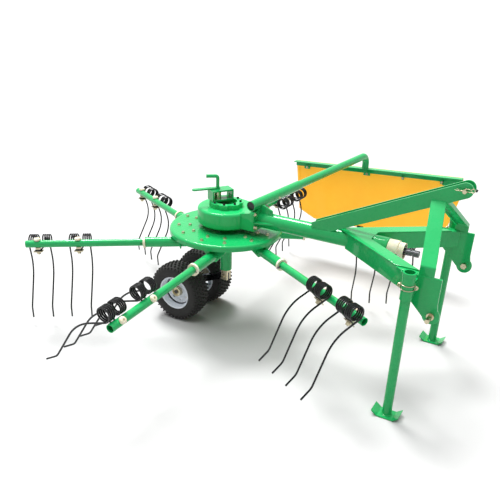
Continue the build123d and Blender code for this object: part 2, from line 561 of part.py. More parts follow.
# Tine arms: open tubes held in the sockets, drilled for the tine bolts
for number, roll in enumerate(ARM_ROLL):
    rolled = arm_plane(number, roll)
    with BuildPart() as tine_arm:
        with BuildSketch(rolled.offset(ARM_START)):
            Circle(ARM_R)
        extrude(amount=ARM_END - ARM_START)
        with BuildSketch(rolled.offset(ARM_START)):
            Circle(ARM_R - ARM_WALL)
        extrude(amount=ARM_END - ARM_START, mode=Mode.SUBTRACT)
        for bolt in TINE_BOLTS:
            across = Plane(rolled.offset(bolt).origin, x_dir=rolled.z_dir, z_dir=rolled.y_dir)
            with BuildSketch(across.offset(-2 * ARM_R)):
                Circle(BOLT_R + FIT)
            extrude(amount=4 * ARM_R, mode=Mode.SUBTRACT)
    save(tine_arm, f"tine_arm_{number + 1}")

    # Double spring tines: two coils, two long legs and the loop that the clamp holds
    turn_r = COIL_R - WIRE_R - BED
    run = atan2(LEG_BEND_1[0] - COIL_BEHIND, LEG_BEND_1[1])
    start = (COIL_BEHIND - turn_r * cos(run), turn_r * sin(run))
    splay = atan2(ARM_SPLAY[number], LEG_TIP[1])
    across_leg = rolled.z_dir * cos(splay) - rolled.y_dir * sin(splay)
    with BuildPart() as tines:
        for bolt in TINE_BOLTS:
            for end in (-1, 1):
                at_coil = rolled.offset(bolt + end * COIL_MID - COIL_LONG / 2)
                with BuildSketch(at_coil):
                    with Locations((COIL_BEHIND, 0)):
                        Circle(COIL_R)
                        Circle(turn_r - WIRE_R - BED, mode=Mode.SUBTRACT)
                extrude(amount=COIL_LONG)
                leg_root = rolled.offset(bolt + end * LEG_OUT).origin
                with BuildLine(Plane(leg_root, x_dir=rolled.x_dir, z_dir=across_leg)) as leg_path:
                    FilletPolyline(start, LEG_BEND_1, LEG_BEND_2, LEG_TIP, radius=LEG_FILLET)
                with BuildSketch(Plane(leg_path.line @ 0, z_dir=leg_path.line % 0)):
                    Circle(WIRE_R)
                sweep(path=leg_path.line)
            under = rolled.offset(bolt).origin + rolled.y_dir * turn_r
            with BuildLine(Plane(under, x_dir=rolled.x_dir, z_dir=-rolled.y_dir)) as loop_path:
                FilletPolyline(
                    (COIL_BEHIND, -COIL_MID / 2),
                    (-BOLT_R - 10, -COIL_MID / 2),
                    (-BOLT_R - 10, COIL_MID / 2),
                    (COIL_BEHIND, COIL_MID / 2),
                    radius=12,
                )
            with BuildSketch(Plane(loop_path.line @ 0, z_dir=loop_path.line % 0)):
                Circle(WIRE_R)
            sweep(path=loop_path.line)
    save(tines, f"tines_{number + 1}")

# Tine clamps: the bolt, its cap, the saddle under the tube and the plate under the loop
loop_top, loop_low = COIL_R - 2 * WIRE_R - BED, COIL_R - BED
with BuildPart() as tine_clamps:
    for number, roll in enumerate(ARM_ROLL):
        rolled = arm_plane(number, roll)
        for bolt in TINE_BOLTS:
            across = Plane(rolled.offset(bolt).origin, x_dir=rolled.z_dir, z_dir=rolled.y_dir)
            with BuildSketch(across.offset(-BOLT_TOP)):
                Circle(BOLT_R)
            extrude(amount=BOLT_TOP + BOLT_LOW)
            with BuildSketch(across.offset(-BOLT_TOP)):
                Circle(13)
            extrude(amount=BOLT_TOP - ARM_R - NIP)
            with BuildSketch(across.offset(loop_low + NIP)):
                Rectangle(CLAMP_LONG, CLAMP_WIDE)
            extrude(amount=CLAMP_THICK)
            with BuildSketch(across.offset(loop_low + NIP + CLAMP_THICK)):
                RegularPolygon(11, 6)
            extrude(amount=9)
            with BuildSketch(across.offset(ARM_R + NIP)):
                Rectangle(26, 26)
            extrude(amount=loop_top - ARM_R - 2 * NIP)
save(tine_clamps, "tine_clamps")

# Wheel carriage: the sliding post with its clevis, the trailing beam and the axle
clevis_top = COLUMN_LOW - SEAT
clevis_low = clevis_top - CLEVIS_TALL
with BuildPart() as carriage_post:
    with BuildSketch(Plane.XY.offset(clevis_top)):
        Circle(POST_R)
    extrude(amount=POST_TOP - clevis_top)
    with BuildSketch(Plane.XY.offset(clevis_low)):
        Rectangle(CLEVIS_LONG, CLEVIS_WIDE)
    extrude(amount=CLEVIS_TALL)
    with BuildSketch(Plane.XY.offset(clevis_low)):
        Rectangle(2 * CLEVIS_LONG, TONGUE_THICK)
    extrude(amount=0.75 * CLEVIS_TALL, mode=Mode.SUBTRACT)
    with BuildSketch(Plane.XZ.offset(-CLEVIS_WIDE / 2 - CLEVIS_PIN_R)):
        with Locations((0, clevis_low + CLEVIS_TALL / 3)):
            Circle(CLEVIS_PIN_R)
    extrude(amount=CLEVIS_WIDE + 2 * CLEVIS_PIN_R)
save(carriage_post, "carriage_post")

with BuildPart() as carriage_beam:
    with BuildSketch(Plane.XZ.offset(-BEAM_WIDE / 2)):
        with BuildLine():
            Polyline(
                (-CLEVIS_LONG / 2 - SEAT, clevis_low + 0.7 * CLEVIS_TALL),
                (WHEEL_X - BEAM_TALL / 2, TYRE_R + BEAM_TALL / 2),
                (WHEEL_X - BEAM_TALL / 2, TYRE_R - BEAM_TALL / 2),
                (-CLEVIS_LONG / 2 - SEAT, clevis_low),
                close=True,
            )
        make_face()
    extrude(amount=BEAM_WIDE)
    with BuildSketch(Plane.XZ.offset(-TONGUE_THICK / 2 + FIT)):
        with Locations((-CLEVIS_LONG / 4, clevis_low + 0.35 * CLEVIS_TALL)):
            Rectangle(1.5 * CLEVIS_LONG, 0.6 * CLEVIS_TALL)
    extrude(amount=TONGUE_THICK - 2 * FIT)
    with BuildSketch(Plane.XZ.offset(-CLEVIS_WIDE)):
        with Locations((0, clevis_low + CLEVIS_TALL / 3)):
            Circle(CLEVIS_PIN_R)
    extrude(amount=2 * CLEVIS_WIDE, mode=Mode.SUBTRACT)
    with BuildSketch(Plane.XZ.offset(-(WHEEL_Y + HUB_OUT))):
        with Locations((WHEEL_X, TYRE_R)):
            Circle(AXLE_R)
    extrude(amount=2 * (WHEEL_Y + HUB_OUT))
save(carriage_beam, "carriage_beam")

for side, name in ((-1, "right"), (1, "left")):
    hub_axis = Axis((WHEEL_X, 0, TYRE_R), (0, 1, 0))
    with BuildPart() as tyre:
        with BuildSketch(Plane.YZ.offset(WHEEL_X)):
            with Locations((side * WHEEL_Y, TYRE_R + (TYRE_R + RIM_R) / 2)):
                RectangleRounded(TYRE_WIDE, TYRE_R - RIM_R, TYRE_ROUND * (TYRE_R - RIM_R))
        revolve(axis=hub_axis)
    save(tyre, f"tyre_{name}")
    with BuildPart() as rim:
        with BuildSketch(Plane.YZ.offset(WHEEL_X)):
            with BuildLine():
                Polyline(
                    (side * (WHEEL_Y - HUB_OUT), TYRE_R + AXLE_R + FIT),
                    (side * (WHEEL_Y - HUB_OUT), TYRE_R + HUB_RAD),
                    (side * (WHEEL_Y - DISH_IN), TYRE_R + HUB_RAD),
                    (side * (WHEEL_Y - DISH_IN), TYRE_R + RIM_R - 3 * RIM_LIP),
                    (side * (WHEEL_Y - RIM_HALF), TYRE_R + RIM_R - RIM_LIP),
                    (side * (WHEEL_Y - RIM_HALF), TYRE_R + RIM_R),
                    (side * (WHEEL_Y + RIM_HALF), TYRE_R + RIM_R),
                    (side * (WHEEL_Y + RIM_HALF), TYRE_R + RIM_R - RIM_LIP),
                    (side * (WHEEL_Y + DISH_IN), TYRE_R + RIM_R - 3 * RIM_LIP),
                    (side * WHEEL_Y, TYRE_R + HUB_RAD),
                    (side * (WHEEL_Y + HUB_OUT), TYRE_R + HUB_RAD),
                    (side * (WHEEL_Y + HUB_OUT), TYRE_R + AXLE_R + FIT),
                    close=True,
                )
            make_face()
        revolve(axis=hub_axis)
    save(rim, f"rim_{name}")

# Curtain: a sleeve over the gearbox flange, the arm that slides in it, the rail and the hanging sheet
curtain_run = Vector(*CURTAIN_BEND) - Vector(*CURTAIN_START)
sleeve_plane = Plane(CURTAIN_START, z_dir=curtain_run)
with BuildPart() as curtain_sleeve:
    with BuildSketch(sleeve_plane):
        Circle(SLEEVE_R)
    extrude(amount=SLEEVE_LONG)
    with BuildSketch(Plane.YZ.offset(FLANGE_X)):
        with Locations((0, (FLANGE_HIGH + CURTAIN_START[2]) / 2)):
            Rectangle(SLEEVE_SADDLE, CURTAIN_START[2] - FLANGE_HIGH)
    extrude(amount=2 * FLANGE_THICK)
    with BuildSketch(sleeve_plane):
        Circle(CURTAIN_R + FIT)
    extrude(amount=SLEEVE_LONG, mode=Mode.SUBTRACT)
save(curtain_sleeve, "curtain_sleeve")

rail_plane = Plane(
    (CURTAIN_BEND[0], CURTAIN_BEND[1], CURTAIN_BEND[2] - RAIL_DROP),
    x_dir=(cos(radians(RAIL_TILT)), 0, sin(radians(RAIL_TILT))),
    z_dir=(0, -1, 0),
)
arm_tail = Vector(*CURTAIN_START) + curtain_run.normalized() * ARM_TAIL
with BuildPart() as curtain_arm:
    with BuildLine() as curtain_path:
        FilletPolyline(
            arm_tail,
            CURTAIN_BEND,
            (CURTAIN_BEND[0], CURTAIN_BEND[1], CURTAIN_BEND[2] - RAIL_DROP + RAIL_TALL / 2 + 2),
            radius=CURTAIN_ROUND,
        )
    with BuildSketch(Plane(arm_tail, z_dir=curtain_run)):
        Circle(CURTAIN_R)
    sweep(path=curtain_path.line)
save(curtain_arm, "curtain_arm")

with BuildPart() as curtain_rail:
    with BuildSketch(rail_plane.offset(-CURTAIN_R)):
        with Locations(((RAIL_FRONT - RAIL_BACK) / 2, 0)):
            Rectangle(RAIL_FRONT + RAIL_BACK, RAIL_TALL)
    extrude(amount=2 * CURTAIN_R)
    with BuildSketch(rail_plane.offset(-CURTAIN_R + RAIL_THICK)):
        with Locations(((RAIL_FRONT - RAIL_BACK) / 2, -RAIL_THICK)):
            Rectangle(RAIL_FRONT + RAIL_BACK, RAIL_TALL)
    extrude(amount=2 * CURTAIN_R, mode=Mode.SUBTRACT)
save(curtain_rail, "curtain_rail")

with BuildPart() as curtain_sheet:
    with BuildSketch(rail_plane.offset(-CURTAIN_R)):
        with BuildLine():
            Polyline(
                (-RAIL_BACK, RAIL_TALL / 2),
                (RAIL_FRONT, RAIL_TALL / 2),
                (RAIL_FRONT, -SHEET_FRONT_STEP),
                (RAIL_FRONT - SHEET_FRONT_CUT, -SHEET_FRONT_DEEP),
                (SHEET_SAG_AT, -SHEET_DEEP),
                (-RAIL_BACK + SHEET_BACK_CUT, -SHEET_BACK_DEEP),
                (-RAIL_BACK + SHEET_BACK_SLANT, -SHEET_BACK_STEP),
                close=True,
            )
        make_face()
    extrude(amount=-SHEET_THICK)
save(curtain_sheet, "curtain_sheet")
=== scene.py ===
# %% [markdown]
# # A mounted rotary hay rake
# A tractor carries this machine on three pins. Its drive shaft turns the rotor under the gearbox, and six arms of
# spring tines sweep cut hay into a row against the yellow curtain. The solids come packed as a fixed frame, and this
# script dresses them with paint, rubber, cloth, wound springs and the small hardware that suits mesh code better.

# %% Load the frame
import json
import math

import bmesh
import bpy
from mathutils import Matrix, Vector


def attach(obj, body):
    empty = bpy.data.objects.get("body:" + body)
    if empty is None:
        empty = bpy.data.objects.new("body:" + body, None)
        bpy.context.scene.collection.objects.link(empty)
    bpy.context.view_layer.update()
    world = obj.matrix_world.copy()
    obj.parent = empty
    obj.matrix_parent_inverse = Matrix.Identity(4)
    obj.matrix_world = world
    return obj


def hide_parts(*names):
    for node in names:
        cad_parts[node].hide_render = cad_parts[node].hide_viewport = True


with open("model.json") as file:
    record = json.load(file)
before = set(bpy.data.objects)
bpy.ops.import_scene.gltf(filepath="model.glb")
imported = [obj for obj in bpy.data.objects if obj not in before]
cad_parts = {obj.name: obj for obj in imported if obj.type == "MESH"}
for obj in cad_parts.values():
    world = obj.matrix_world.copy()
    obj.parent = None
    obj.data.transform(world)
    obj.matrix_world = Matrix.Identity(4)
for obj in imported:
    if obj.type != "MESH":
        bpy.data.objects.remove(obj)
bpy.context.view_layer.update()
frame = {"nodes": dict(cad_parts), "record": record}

# %% [markdown]
# The camera stands to the right of the hitch and looks down at the rotor. It could be dragged into place by eye. Here
# its place, turn and lens were solved from parts of known size, so they are plain numbers, and the picture's own
# middle is a little off the lens axis, which the shift takes up.

# %% Camera
CAMERA_PLACE = Vector((1.64833, -2.90376, 1.88660))
CAMERA_YAW, CAMERA_PITCH, CAMERA_ROLL = -0.5033, 0.49777, -0.03282
FOCAL_PIXELS, CENTRE_U, CENTRE_V, PICTURE = 605.757, 254.037, 310.179, 500
SENSOR_MM, NEAREST, FARTHEST = 36, 0.05, 100


def add_object(name, data):
    made = bpy.data.objects.new(name, data)
    bpy.context.scene.collection.objects.link(made)
    return made


forward = Vector((math.sin(CAMERA_YAW) * math.cos(CAMERA_PITCH), math.cos(CAMERA_YAW) * math.cos(CAMERA_PITCH),
                  -math.sin(CAMERA_PITCH)))
right = Vector((math.cos(CAMERA_YAW), -math.sin(CAMERA_YAW), 0))
down = forward.cross(right)
across = right * math.cos(CAMERA_ROLL) + down * math.sin(CAMERA_ROLL)
below = down * math.cos(CAMERA_ROLL) - right * math.sin(CAMERA_ROLL)
camera = add_object("camera", bpy.data.cameras.new("camera"))
camera.matrix_world = Matrix.Translation(CAMERA_PLACE) @ Matrix((across, -below, -forward)).transposed().to_4x4()
camera.data.sensor_width = SENSOR_MM
camera.data.lens = SENSOR_MM * FOCAL_PIXELS / PICTURE
camera.data.shift_x = (PICTURE / 2 - CENTRE_U) / PICTURE
camera.data.shift_y = (CENTRE_V - PICTURE / 2) / PICTURE
camera.data.clip_start, camera.data.clip_end = NEAREST, FARTHEST
bpy.context.scene.camera = camera
print("camera lens", round(camera.data.lens, 2), "mm")

# %% [markdown]
# Every colour is written as a screen hex value, which Blender wants as linear light, and every material is a small
# node graph. One helper turns the hex, and one adds a node with its settings and links. A socket may be given by its
# number, because the Mix node has several with one name. Four more helpers make the nodes that every finish uses:
# noise of a given size, a blend of two colours, a spread of values and a relief for the light.

# %% Colour and node helpers
MM = 0.001
finishes = {}


def linear(hex_colour):
    """Turns a screen colour into linear light by the sRGB curve."""
    channels = [int(hex_colour[i:i + 2], 16) / 255 for i in (1, 3, 5)]
    return [c / 12.92 if c <= 0.04045 else ((c + 0.055) / 1.055) ** 2.4 for c in channels] + [1]


def node(material, kind, settings=None, links=None, **values):
    """Adds a node; values set its properties, settings its sockets, and links join (node, output) to a socket."""
    made = material.node_tree.nodes.new(kind) if isinstance(kind, str) else kind
    for name, value in values.items():
        setattr(made, name, value)
    for socket, value in (settings or {}).items():
        made.inputs[socket].default_value = value
    for socket, (source, output) in (links or {}).items():
        material.node_tree.links.new(source.outputs[output], made.inputs[socket])
    return made


def new_material(name):
    material = bpy.data.materials.new(name)
    material.use_nodes = True
    return material, material.node_tree.nodes["Principled BSDF"]


def noise(material, place, size_mm, detail, roughness=0.5):
    """Noise of about that size; place is the (node, output) that it follows."""
    return node(material, "ShaderNodeTexNoise",
                {"Scale": 1 / (size_mm * MM), "Detail": detail, "Roughness": roughness}, {"Vector": place})


def blend(material, low, high, amount):
    return node(material, "ShaderNodeMix", {6: linear(low), 7: linear(high)}, {0: (amount, "Fac")}, data_type="RGBA")


def spread(material, low, high, amount):
    return node(material, "ShaderNodeMapRange", {"To Min": low, "To Max": high}, {"Value": (amount, "Fac")})


def relief(material, height, strength, depth_mm):
    return node(material, "ShaderNodeBump", {"Strength": strength, "Distance": depth_mm * MM}, {"Height": height})


# %% [markdown]
# Almost all of the machine is steel sprayed with bright green enamel. Sprayed enamel is glossy with a faint orange
# peel, and its film is a little thinner, so darker, here and there. A plain shader would look like plastic, so slow
# noise drifts the colour, finer noise lifts the roughness, and a soft bump gives the peel. The real peel is about
# 2 mm across, which is too fine for the picture, so it is drawn at 9 mm.

# %% Green enamel
DRIFT_MM, SCUFF_MM, SCUFF_ROUGH, PEEL_STRENGTH = 240, 35, 0.16, 0.35
LACQUER = {"Specular IOR Level": 0.1, "Coat Weight": 0.55, "Coat Roughness": 0.05}


def sprayed_enamel(name, thin, thick, peel_mm, peel_depth, gloss):
    material, shader = new_material(name)
    place = (node(material, "ShaderNodeTexCoord"), "Object")
    film = blend(material, thin, thick, noise(material, place, DRIFT_MM, detail=4, roughness=0.6))
    rough = spread(material, gloss, gloss + SCUFF_ROUGH, noise(material, place, SCUFF_MM, detail=6))
    peel = relief(material, (noise(material, place, peel_mm, detail=2), "Fac"), PEEL_STRENGTH, peel_depth)
    node(material, shader, LACQUER,
         {"Base Color": (film, 2), "Roughness": (rough, "Result"), "Normal": (peel, "Normal")})
    return material


finishes["green_paint"] = sprayed_enamel("green_sprayed_enamel", "#12984E", "#19AC60", peel_mm=9, peel_depth=0.025,
                                         gloss=0.2)
print("enamel", finishes["green_paint"].name)

# %% [markdown]
# The gearbox is cast iron under the same paint. Sand casting leaves a grainy skin, so it takes the same recipe with
# a finer and much deeper bump and less gloss.

# %% Painted casting
finishes["cast_green"] = sprayed_enamel("green_painted_casting", "#18A658", "#20BA69", peel_mm=5, peel_depth=0.25,
                                        gloss=0.28)
print("casting", finishes["cast_green"].name)

# %% [markdown]
# Pins, bolts and clamps are steel with a yellow-passivated zinc plate: a metal that wanders between straw and silver
# in patches, and whose gloss wanders with it. Springs are black. The wheel beam takes the same black: it sits in deep
# shade under the frame, and its black is partly painted shade. The wheel rims have silver paint, and the splined stub
# is bare turned steel. All four are one recipe with other colours, patches and gloss.

# %% Metals
GRIT_MM, GRIT_STRENGTH, GRIT_DEPTH = 2, 0.2, 0.1


def plated(name, dark, pale, patch_mm, rough_low, rough_high, metallic=1, shine=0.5):
    material, shader = new_material(name)
    place = (node(material, "ShaderNodeTexCoord"), "Object")
    patch = noise(material, place, patch_mm, detail=5, roughness=0.65)
    tint, rough = blend(material, dark, pale, patch), spread(material, rough_low, rough_high, patch)
    grit = relief(material, (noise(material, place, GRIT_MM, detail=2), "Fac"), GRIT_STRENGTH, GRIT_DEPTH)
    node(material, shader, {"Metallic": metallic, "Specular IOR Level": shine},
         {"Base Color": (tint, 2), "Roughness": (rough, "Result"), "Normal": (grit, "Normal")})
    return material


finishes["zinc"] = plated("yellow_zinc_plate", "#AA9F7A", "#CFC8B2", patch_mm=14, rough_low=0.2, rough_high=0.36)
finishes["bare_steel"] = plated("turned_steel", "#4C4D50", "#7A7B7E", patch_mm=8, rough_low=0.25, rough_high=0.42)
# black enamel for the springs; the wheel beam takes it too, where its black is partly painted shade
finishes["spring_steel"] = plated("black_enamel_and_beam_shade", "#060607", "#0E0F12", patch_mm=20, rough_low=0.16,
                                  rough_high=0.28, metallic=0, shine=0.45)
finishes["rim_silver"] = plated("silver_wheel_paint", "#C9CFD8", "#E2E7EE", patch_mm=30, rough_low=0.35,
                                rough_high=0.5, metallic=0.1)
print("metals", [finishes[slot].name for slot in ("zinc", "bare_steel", "spring_steel", "rim_silver")])

# %% [markdown]
# The drive guard and the collars round the arms are moulded polythene, a waxy cream plastic that lets a little light
# in, so it gets a touch of subsurface. Tyre rubber is almost black, dull, and slightly grey with bloom and dust.

# %% Plastic and rubber
GRAIN_STRENGTH, GRAIN_DEPTH, GLOW_DEEP = 0.3, 0.3, 4


def moulded(name, deep, pale, patch_mm, grain_mm, roughness, glow=0):
    material, shader = new_material(name)
    place = (node(material, "ShaderNodeTexCoord"), "Object")
    tint = blend(material, deep, pale, noise(material, place, patch_mm, detail=5))
    grain = relief(material, (noise(material, place, grain_mm, detail=3), "Fac"), GRAIN_STRENGTH, GRAIN_DEPTH)
    node(material, shader, {"Roughness": roughness, "Subsurface Weight": glow, "Subsurface Scale": GLOW_DEEP * MM},
         {"Base Color": (tint, 2), "Normal": (grain, "Normal")})
    return material


finishes["cream_plastic"] = moulded("cream_moulded_polythene", "#D8CFAF", "#F0EAD6", patch_mm=40, grain_mm=6,
                                    roughness=0.42, glow=0.15)
finishes["tyre"] = moulded("bloomed_tyre_rubber", "#131313", "#262523", patch_mm=60, grain_mm=3, roughness=0.78)
print("moulded", finishes["cream_plastic"].name, finishes["tyre"].name)

# %% [markdown]
# The curtain is polyester cloth coated with yellow vinyl. The threads show through the coating as a fine grid about
# 1.2 mm apart, far too fine for the picture, so a soft grid about 31 mm apart stands for it. Two wave textures on the
# sheet's own UV map make that grid, so it follows the cloth. Slow noise blends a shaded and a sunlit tone of the
# yellow: painted shade and light in broad patches. Thin cloth lets daylight through from behind, and a weak glow of
# the cloth's own colour stands for that light.

# %% Coated cloth
WAVE_FACTOR = 20  # the wave node multiplies a place by this before its sine
WEAVE_MM, WEAVE_STRENGTH, WEAVE_DEPTH = 5, 0.3, 0.4  # one wave of the grid is 2 pi times WEAVE_MM long
SUN_AND_SHADE_MM, CLOTH_ROUGH, CLOTH_SHEEN, DAYLIGHT = 180, (0.42, 0.62), (0.1, 0.4), 0.42


def coated_cloth(name, shade, sun):
    material, shader = new_material(name)
    cut = (node(material, "ShaderNodeUVMap", uv_map="cut"), "UV")
    warp, weft = (node(material, "ShaderNodeTexWave", {"Scale": 1 / (WEAVE_MM * MM) / WAVE_FACTOR}, {"Vector": cut},
                       bands_direction=direction) for direction in "XY")
    weave = node(material, "ShaderNodeMath", None, {0: (warp, "Fac"), 1: (weft, "Fac")}, operation="ADD")
    # shade and sun are a shaded and a sunlit tone: this noise lays them on as painted shade and light in patches
    sun_and_shade = noise(material, cut, SUN_AND_SHADE_MM, detail=6, roughness=0.6)
    tint, rough = blend(material, shade, sun, sun_and_shade), spread(material, *CLOTH_ROUGH, sun_and_shade)
    grid = relief(material, (weave, "Value"), WEAVE_STRENGTH, WEAVE_DEPTH)
    node(material, shader,
         {"Sheen Weight": CLOTH_SHEEN[0], "Sheen Roughness": CLOTH_SHEEN[1], "Emission Strength": DAYLIGHT},
         {"Base Color": (tint, 2), "Emission Color": (tint, 2), "Roughness": (rough, "Result"),
          "Normal": (grid, "Normal")})
    return material


finishes["tarpaulin"] = coated_cloth("yellow_coated_cloth", "#F4A81C", "#FDBA30")
print("cloth", finishes["tarpaulin"].name)

# %% [markdown]
# The record names the finish of every solid, so one loop paints them all. The pieces made further down cover some of
# these solids, and they take their finish from the same list.

# %% Finishes on the solids
for part in frame["record"]["subparts"]:
    mesh = frame["nodes"][part["node"]].data
    mesh.materials.clear()
    mesh.materials.append(finishes[part["material_slot"]])

# %% [markdown]
# New pieces are drawn in millimetres round the rotor's axis, as a maker would measure them, and scaled into the frame
# at the end. One helper does that last step for every piece: it merges doubles, turns the faces outwards, marks
# the sharp edges, gives the finish and says which body the piece rides on.

# %% From millimetres to a piece
ROTOR = Vector((-0.13845, -0.0323, 0))
SHARP, JOIN_MM = math.radians(38), 0.01
SIDES = (("right", -1), ("left", 1))
Vert, Edge, Face = bmesh.types.BMVert, bmesh.types.BMEdge, bmesh.types.BMFace


def only(kind, geom):
    return [item for item in geom if isinstance(item, kind)]


def move_new(shape, count, matrix):
    """Moves the vertices that were made since the shape had count of them."""
    shape.verts.ensure_lookup_table()
    bmesh.ops.transform(shape, matrix=matrix, verts=shape.verts[count:])


def finish_piece(shape, name, finish, body, stands_for=()):
    bmesh.ops.remove_doubles(shape, verts=shape.verts, dist=JOIN_MM)
    bmesh.ops.recalc_face_normals(shape, faces=shape.faces)
    bmesh.ops.transform(shape, matrix=Matrix.Translation(ROTOR) @ Matrix.Scale(MM, 4), verts=shape.verts)
    for face in shape.faces:
        face.smooth = True
    for edge in shape.edges:
        edge.smooth = edge.smooth and edge.calc_face_angle(0) < SHARP
    mesh = bpy.data.meshes.new(name)
    shape.to_mesh(mesh)
    shape.free()
    mesh.materials.append(finishes[finish])
    piece = add_object(name, mesh)
    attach(piece, body)
    if stands_for:
        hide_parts(*stands_for)
    print(name, "faces", len(mesh.polygons))
    return piece


print("rotor's axis at", ROTOR.to_tuple(4))

# %% [markdown]
# Much of the hardware is bent wire, and a wire bender makes it the way a bmesh can: a ring of edges is the wire's
# section, an extrusion runs it straight, and a spin carries it round a bend. A curve with a bevel would do too, but
# the spin also winds a coil, when every step moves along the axis as well.

# %% Wire bender
def aim(place, heading):
    """A matrix that turns the Z axis to the heading and moves it to the place."""
    return Matrix.Translation(place) @ Vector((0, 0, 1)).rotation_difference(Vector(heading)).to_matrix().to_4x4()


def start_wire(shape, place, heading, radius, sides=8):
    made = bmesh.ops.create_circle(shape, segments=sides, radius=radius, matrix=aim(place, heading))
    return made["verts"] + list({edge for vert in made["verts"] for edge in vert.link_edges})


def run_wire(shape, ring, along):
    ring = bmesh.ops.extrude_face_region(shape, geom=ring)["geom"]
    bmesh.ops.translate(shape, verts=only(Vert, ring), vec=along)
    return ring


def bend_wire(shape, ring, centre, axis, angle, steps, rise=Vector()):
    return bmesh.ops.spin(shape, geom=ring, cent=centre, axis=axis, angle=angle, steps=steps, dvec=rise)["geom_last"]


def lay_wire(shape, ring, points, rounds, steps=6):
    """Runs the ring from point to point and bends it round each corner by that corner's radius."""
    points = [Vector(point) for point in points]
    here = points[0]
    for corner, after, radius in zip(points[1:-1], points[2:], rounds):
        before, beyond = (corner - here).normalized(), (after - corner).normalized()
        turn, axis = before.angle(beyond), before.cross(beyond).normalized()
        reach = radius * math.tan(turn / 2)
        start = corner - before * reach
        ring = run_wire(shape, ring, start - here)
        ring = bend_wire(shape, ring, start + axis.cross(before) * radius, axis, turn, steps)
        here = corner + beyond * reach
    return run_wire(shape, ring, points[-1] - here)


def close_wire(shape, ring):
    return bmesh.ops.contextual_create(shape, geom=only(Edge, ring))["faces"]


print("wire tools", [tool.__name__ for tool in (start_wire, run_wire, bend_wire, lay_wire, close_wire)])

# %% [markdown]
# The spring tines are the heart of the machine. Each pair is one black wire: a loop under the clamp bolt, a coil of
# nearly four open turns on each side of it, and a long leg with two bends and a hooked tip. The coil lets a leg give
# way when it hits a stone. Each half is wound from the middle of the loop outwards, and the two are merged there.

# %% Spring tines
ARM_FIRST, ARM_STEP, ARM_DROOP, ARM_OFFSET, ARM_HEIGHT = 32, 60, 1.75, 73.6, 547
ARM_ROLL, ARM_SPLAY = (-6, -6, -5, -6, 53, 49), (38, 38, 35.5, 35.5, 52, 46)
TINE_BOLTS = (857, 1090)
WIRE_R, LEG_THICKER, TURN_R, COIL_BEHIND, COIL_TURNS, COIL_FAR = 4.4, 1.15, 36.5, 66, 4, 60
LOOP_FRONT, LOOP_HALF, LOOP_ROUND = -16, 13.5, 11
LEG_LEAVES, LEG_POINTS, LEG_ROUNDS = math.radians(157), ((97, 165), (10, 395), (22, 468)), (200, 60)
COIL_STEPS, LEG_STEPS = 100, 10


def arm_frame(number, roll=0):
    heading, droop, roll = (math.radians(a) for a in (ARM_FIRST + ARM_STEP * number, ARM_DROOP, roll))
    behind = Vector((math.sin(heading), -math.cos(heading), 0))
    outward = Vector((math.cos(heading) * math.cos(droop), math.sin(heading) * math.cos(droop), -math.sin(droop)))
    up = outward.cross(-behind)
    root = -ARM_OFFSET * behind + Vector((0, 0, ARM_HEIGHT))
    turned = (behind * math.cos(roll) + up * math.sin(roll), behind * math.sin(roll) - up * math.cos(roll), outward)
    return Matrix.Translation(root) @ Matrix(turned).transposed().to_4x4()


def wind_tine(shape, side, splay):
    under = [(LOOP_FRONT, TURN_R, 0), (LOOP_FRONT, TURN_R, side * LOOP_HALF),
             (COIL_BEHIND, TURN_R, side * LOOP_HALF)]
    ring = lay_wire(shape, start_wire(shape, under[0], (0, 0, 1), WIRE_R), under, [LOOP_ROUND])
    sweep = math.pi / 2 - LEG_LEAVES + COIL_TURNS * 2 * math.pi
    rise = Vector((0, 0, side * (COIL_FAR - LOOP_HALF) / COIL_STEPS))
    ring = bend_wire(shape, ring, (COIL_BEHIND, 0, 0), (0, 0, -1), sweep, COIL_STEPS, rise)
    leaves = Vector((COIL_BEHIND + TURN_R * math.cos(LEG_LEAVES), TURN_R * math.sin(LEG_LEAVES), side * COIL_FAR))
    bmesh.ops.scale(shape, verts=only(Vert, ring), vec=(LEG_THICKER,) * 3, space=Matrix.Translation(-leaves))
    leg = [(x, y * math.cos(splay), side * COIL_FAR + y * math.sin(splay)) for x, y in LEG_POINTS]
    close_wire(shape, lay_wire(shape, ring, [leaves] + leg, LEG_ROUNDS, LEG_STEPS))


for number, (roll, splay) in enumerate(zip(ARM_ROLL, ARM_SPLAY)):
    shape = bmesh.new()
    for bolt in TINE_BOLTS:
        made = len(shape.verts)
        for side in (-1, 1):
            wind_tine(shape, side, math.atan2(splay, LEG_POINTS[-1][1]))
        move_new(shape, made, arm_frame(number, roll) @ Matrix.Translation((0, 0, bolt)))
    finish_piece(shape, f"spring_tines_{number + 1}", "spring_steel", "rotor", [f"tines_{number + 1}"])

# %% [markdown]
# The two small wheels run on balloon tyres with rows of rubber knobs. The carcass is one outline spun round the axle.
# Every knob is a cube with a narrower top, set round the tread in staggered rows, and the outer rows lean to the
# shoulder.

# %% Tyres
WHEEL_X, WHEEL_Y, WHEEL_Z = -250, 137, 183
TYRE_OUTLINE = ((57, 97), (64, 104), (70, 114), (73.5, 122), (72.5, 124), (75, 134), (74, 148), (68, 160), (56, 168),
                (38, 172), (19, 174), (0, 174.5))
TYRE_STEPS = 72
KNOB_ROWS = ((0, 172, 0), (23, 171, 7), (45, 168, 18), (63, 160, 42))
KNOBS_ROUND, KNOB_SIZE, KNOB_TOP, KNOB_SINK = 42, (12, 12, 12), (0.55, 0.6, 1), 1


def spin_round_axle(shape, outline, centre, steps):
    """Spins an outline of (across, radius) pairs right round the axle."""
    row = [shape.verts.new((centre[0], centre[1] + across, centre[2] + radius)) for across, radius in outline]
    edges = [shape.edges.new(pair) for pair in zip(row, row[1:])]
    bmesh.ops.spin(shape, geom=row + edges, cent=centre, axis=(0, 1, 0), angle=2 * math.pi, steps=steps,
                   use_merge=True)


